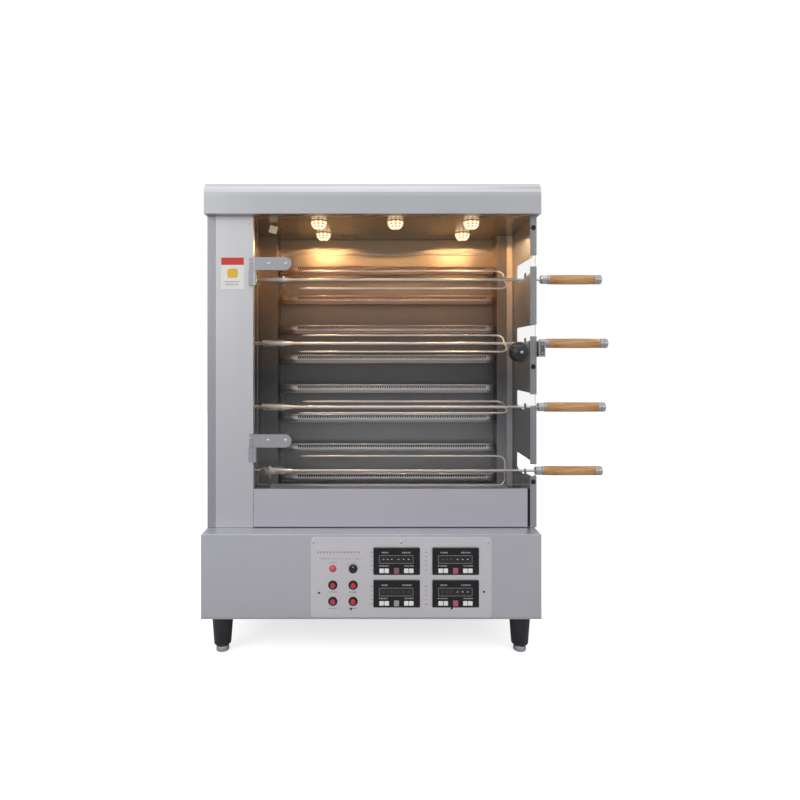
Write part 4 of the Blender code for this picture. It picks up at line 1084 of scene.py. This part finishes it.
def addControls():
    face = cabinetBox("control_panel")[0].y
    for number in range(1, 5):
        addController(number)
    mesh = bmesh.new()
    for x in panel["topScrews"]:
        addScrew(mesh, (x, face, panel["topScrewZ"]), panel["screwHead"], 2.2 * mm)
    piece("panel_screws_top", mesh, steel["screw"], "cabinet")
    mesh = bmesh.new()
    for x, z in panel["darkScrews"]:
        addScrew(mesh, (x, face, z), 3.2 * mm, 1.4 * mm)
    piece("panel_screws_small", mesh, steel["darkScrew"], "cabinet")
    marks = bmesh.new()
    for number in range(1, 5):
        low, high = cabinetBox(f"push_button_{number}")
        x = (low.x + high.x) / 2
        z = (low.z + high.z) / 2
        mesh = bmesh.new()
        hole = panel["buttonRadius"] + 0.45 * mm
        outer = panel["bezel"]
        ring = [(face, hole), (face, outer), (face - 1.2 * mm, outer), (face - 2.6 * mm, outer - 1.2 * mm),
                (face - 3.0 * mm, outer - 2.4 * mm), (face - 2.4 * mm, hole + 0.4 * mm),
                (face - 1.6 * mm, hole)]
        loops = []
        for y, radius in ring + [ring[0]]:
            loops.append([Vector((x + radius * math.cos(2 * math.pi * k / 40), y,
                                  z + radius * math.sin(2 * math.pi * k / 40))) for k in range(40)])
        addLoft(mesh, loops, caps=False)
        bmesh.ops.remove_doubles(mesh, verts=mesh.verts, dist=1e-6)
        piece(f"button_bezel_{number}", mesh, plastic["case"], "cabinet")
        addMarks(marks, x - 12 * mm, x + 12 * mm, z - 22.5 * mm, z - 18.5 * mm, face, 40 + number)
    low, high = cabinetBox("power_indicator")
    x = (low.x + high.x) / 2
    z = (low.z + high.z) / 2
    addMarks(marks, x - 12 * mm, x + 12 * mm, z + 15 * mm, z + 19 * mm, face, 51)
    mesh = bmesh.new()
    ring = [(face, 0), (face, 10.4 * mm), (face - 1.4 * mm, 10.4 * mm), (face - 2.6 * mm, 9.2 * mm),
            (face - 3.0 * mm, 7.8 * mm), (face - 3.6 * mm, 7.2 * mm), (face - 5.6 * mm, 5.4 * mm),
            (face - 6.4 * mm, 2.4 * mm),
            (face - 6.5 * mm, 0)]
    addTurned(mesh, "Y", ring, 40, (x, 0, z))
    for each in mesh.faces:
        middle = each.calc_center_median()
        each.material_index = 1 if math.hypot(middle.x - x, middle.z - z) < 6.6 * mm else 0
    lens = piece("indicator_lens", mesh, [plastic["redCap"], plastic["lens"]], "cabinet")
    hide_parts("power_indicator")
    low, high = cabinetBox("selector_knob")
    x = (low.x + high.x) / 2
    z = (low.z + high.z) / 2
    outside = low.y - 0.05 * mm
    inside = low.y + 0.4 * mm
    mesh = bmesh.new()
    addTurned(mesh, "Y", [(outside, 0), (outside, 1.6 * mm), (inside, 1.6 * mm), (inside, 0)], 16,
              (x, 0, z + 7 * mm))
    piece("selector_dot", mesh, inks["labelWhite"], "selector")
    for k in range(7):
        turn = math.radians(-30 + 40 * k)
        dotX = x + panel["scaleRadius"] * math.cos(turn)
        dotZ = z + panel["scaleRadius"] * math.sin(turn)
        half = panel["scaleDot"] / 2
        addBox(marks, (dotX - half, face - 0.15 * mm, dotZ - half),
               (dotX + half, face + 0.1 * mm, dotZ + half))
    addMarks(marks, -0.158, -0.030, 0.301, 0.308, face, 60, gap=0.5)
    addMarks(marks, -0.148, -0.030, 0.284, 0.2875, face, 61, gap=0.8)
    for x, seeds in ((0.0000, 62), (0.1610, 72)):
        for k, z in enumerate((0.305, 0.292, 0.279, 0.266, 0.253, 0.205, 0.192, 0.179, 0.166, 0.153)):
            addMarks(marks, x - 3 * mm, x + 4.5 * mm, z - 1.6 * mm, z + 1.6 * mm, face, seeds + k)
    piece("panel_marks", marks, inks["mark"], "cabinet")


addControls()
print("controls ready")

# Labels: blank vinyl on the column and a card tag that hangs under the ceiling.
label = {"left": -0.459, "right": -0.387, "low": 1.084, "high": 1.1815, "header": 24 * mm}


def addLabels():
    front = -0.35 * mm
    mesh = bmesh.new()
    addPlate(mesh, roundedOutline((label["left"], label["low"]), (label["right"], label["high"]), 2 * mm),
             "Y",
             front, 0.05 * mm)
    piece("column_label", mesh, inks["labelWhite"], "cabinet")
    mesh = bmesh.new()
    outline = roundedOutline((label["left"] + 1.5 * mm, label["high"] - label["header"]),
                             (label["right"] - 1.5 * mm, label["high"] - 1.5 * mm), 1.5 * mm)
    addPlate(mesh, outline, "Y", front - 0.15 * mm, front + 0.05 * mm)
    piece("column_label_header", mesh, inks["labelRed"], "cabinet")
    mesh = bmesh.new()
    middle = (label["left"] + label["right"]) / 2
    low = label["low"] + 34 * mm
    block = roundedOutline((middle - 16 * mm, low), (middle + 16 * mm, low + 28 * mm), 5 * mm)
    addPlate(mesh, block, "Y", front - 0.15 * mm, front + 0.05 * mm)
    piece("column_label_block", mesh, inks["labelYellow"], "cabinet")
    mesh = bmesh.new()
    for row, width in ((22 * mm, 24 * mm), (14 * mm, 20 * mm)):
        addMarks(mesh, middle - width, middle + width, label["low"] + row - 2 * mm,
                 label["low"] + row + 2 * mm,
                 front - 0.1 * mm, 80 + int(row / mm))
    piece("column_label_print", mesh, inks["mark"], "cabinet")
    tagMiddle = Vector((-0.317, 0.112, 1.290))
    tilt = math.radians(-15)
    mesh = bmesh.new()
    outline = roundedOutline((-13 * mm, -13 * mm), (13 * mm, 11 * mm), 2 * mm)
    turnedOutline = [(u * math.cos(tilt) - v * math.sin(tilt), u * math.sin(tilt) + v * math.cos(tilt))
                     for u, v in outline]
    addPlate(mesh, turnedOutline, "Y", -0.3 * mm, 0.3 * mm)
    piece("hanging_tag", mesh, inks["tag"], "cabinet", tuple(tagMiddle))
    mesh = bmesh.new()
    addWire(mesh, [(Vector((2.5 * mm, 0, 8 * mm)), 0.5 * mm), (Vector((1.5 * mm, 0, 12 * mm)), 0.5 * mm),
                   (Vector((0, 0, 16.8 * mm)), 0.5 * mm)], 8)
    piece("hanging_tag_wire", mesh, steel["screw"], "cabinet", tuple(tagMiddle))


addLabels()
print("labels ready")


# Studio: a pale floor, soft light from above, in front and both sides, and a white room.
studio = {
    "cameraBack": 1.8, "cameraHeight": 0.882, "lens": 26.55, "shiftX": 0.036, "shiftY": -0.056,
    "floorSize": 14.0, "floor": "#FAFAFA",
    "roomTop": 0.85, "roomMiddle": 0.60, "roomBottom": 0.20, "floorBounce": "#BEBEC2",
}


def addStudio():
    cameraData = bpy.data.cameras.new("camera")
    cameraData.lens = studio["lens"]
    cameraData.shift_x = studio["shiftX"]
    cameraData.shift_y = studio["shiftY"]
    camera = bpy.data.objects.new("camera", cameraData)
    camera.location = place(0, -studio["cameraBack"], studio["cameraHeight"])
    camera.rotation_euler = (math.radians(90), 0, 0)
    scene.collection.objects.link(camera)
    scene.camera = camera
    scene.view_settings.view_transform = "Standard"

    world = bpy.data.worlds.new("room")
    scene.world = world
    world.use_nodes = True
    tree = world.node_tree
    tree.nodes.clear()
    where = addNode(tree, "ShaderNodeTexCoord")
    parts = addNode(tree, "ShaderNodeSeparateXYZ", {}, {0: where.outputs["Generated"]})
    height = addNode(tree, "ShaderNodeMapRange", {1: -1.0, 2: 1.0}, {0: parts.outputs["Z"]})
    shades = addNode(tree, "ShaderNodeValToRGB", {}, {"Fac": height.outputs[0]})
    setRamp(shades, [(0.0, (studio["roomBottom"],) * 3 + (1,)), (0.5, (studio["roomMiddle"],) * 3 + (1,)),
                     (1.0, (studio["roomTop"],) * 3 + (1,))])
    room = addNode(tree, "ShaderNodeBackground", {"Strength": 0.96}, {"Color": shades.outputs[0]})
    white = addNode(tree, "ShaderNodeBackground", {"Color": (1, 1, 1, 1), "Strength": 1.0})
    seen = addNode(tree, "ShaderNodeLightPath")
    mixed = addNode(tree, "ShaderNodeMixShader", {},
                    {0: seen.outputs["Is Camera Ray"], 1: room.outputs[0], 2: white.outputs[0]})
    addNode(tree, "ShaderNodeOutputWorld", {}, {"Surface": mixed.outputs[0]})

    half = studio["floorSize"] / 2
    mesh = bmesh.new()
    mesh.faces.new([mesh.verts.new((x, y, 0)) for x,
                    y in ((-half, -half), (half, -half), (half, half), (-half, half))])
    data = bpy.data.meshes.new("floor")
    mesh.to_mesh(data)
    mesh.free()
    material, tree = startMaterial("painted studio floor")
    where = addNode(tree, "ShaderNodeTexCoord")
    soft = addNode(tree, "ShaderNodeTexNoise", {"Scale": 3.0}, {"Vector": where.outputs["Object"]})
    matt = addNode(tree, "ShaderNodeMapRange", {3: 0.85, 4: 0.95}, {0: soft.outputs["Fac"]})
    seenFloor = addNode(tree, "ShaderNodeBsdfPrincipled",
                        {"Base Color": linear(studio["floor"]), "Emission Color": (1, 1, 1, 1),
                         "Emission Strength": 0.62}, {"Roughness": matt.outputs[0]})
    darkFloor = addNode(tree, "ShaderNodeBsdfDiffuse", {"Color": linear(studio["floorBounce"])})
    seen = addNode(tree, "ShaderNodeLightPath")
    both = addNode(tree, "ShaderNodeMixShader", {},
                   {0: seen.outputs["Is Camera Ray"], 1: darkFloor.outputs[0], 2: seenFloor.outputs[0]})
    addNode(tree, "ShaderNodeOutputMaterial", {}, {"Surface": both.outputs[0]})
    data.materials.append(material)
    floor = bpy.data.objects.new("floor", data)
    floor.location = (0, 0, -0.0005)
    scene.collection.objects.link(floor)

    middle = place(0, 0.2, 0.8)
    addLight("top softbox", "AREA", place(0, -0.6, 3.2), middle, 16, {"size": 2.6})
    addLight("front softbox", "AREA", place(0.1, -2.7, 0.95), place(0, 0.1, 0.85), 1.6, {"size": 1.7})
    addLight("left softbox", "AREA", place(-2.6, -2.2, 1.8), middle, 24, {"size": 2.0})
    addLight("right softbox", "AREA", place(2.6, -2.4, 1.6), middle, 5, {"size": 1.8})


addStudio()
print("studio ready")
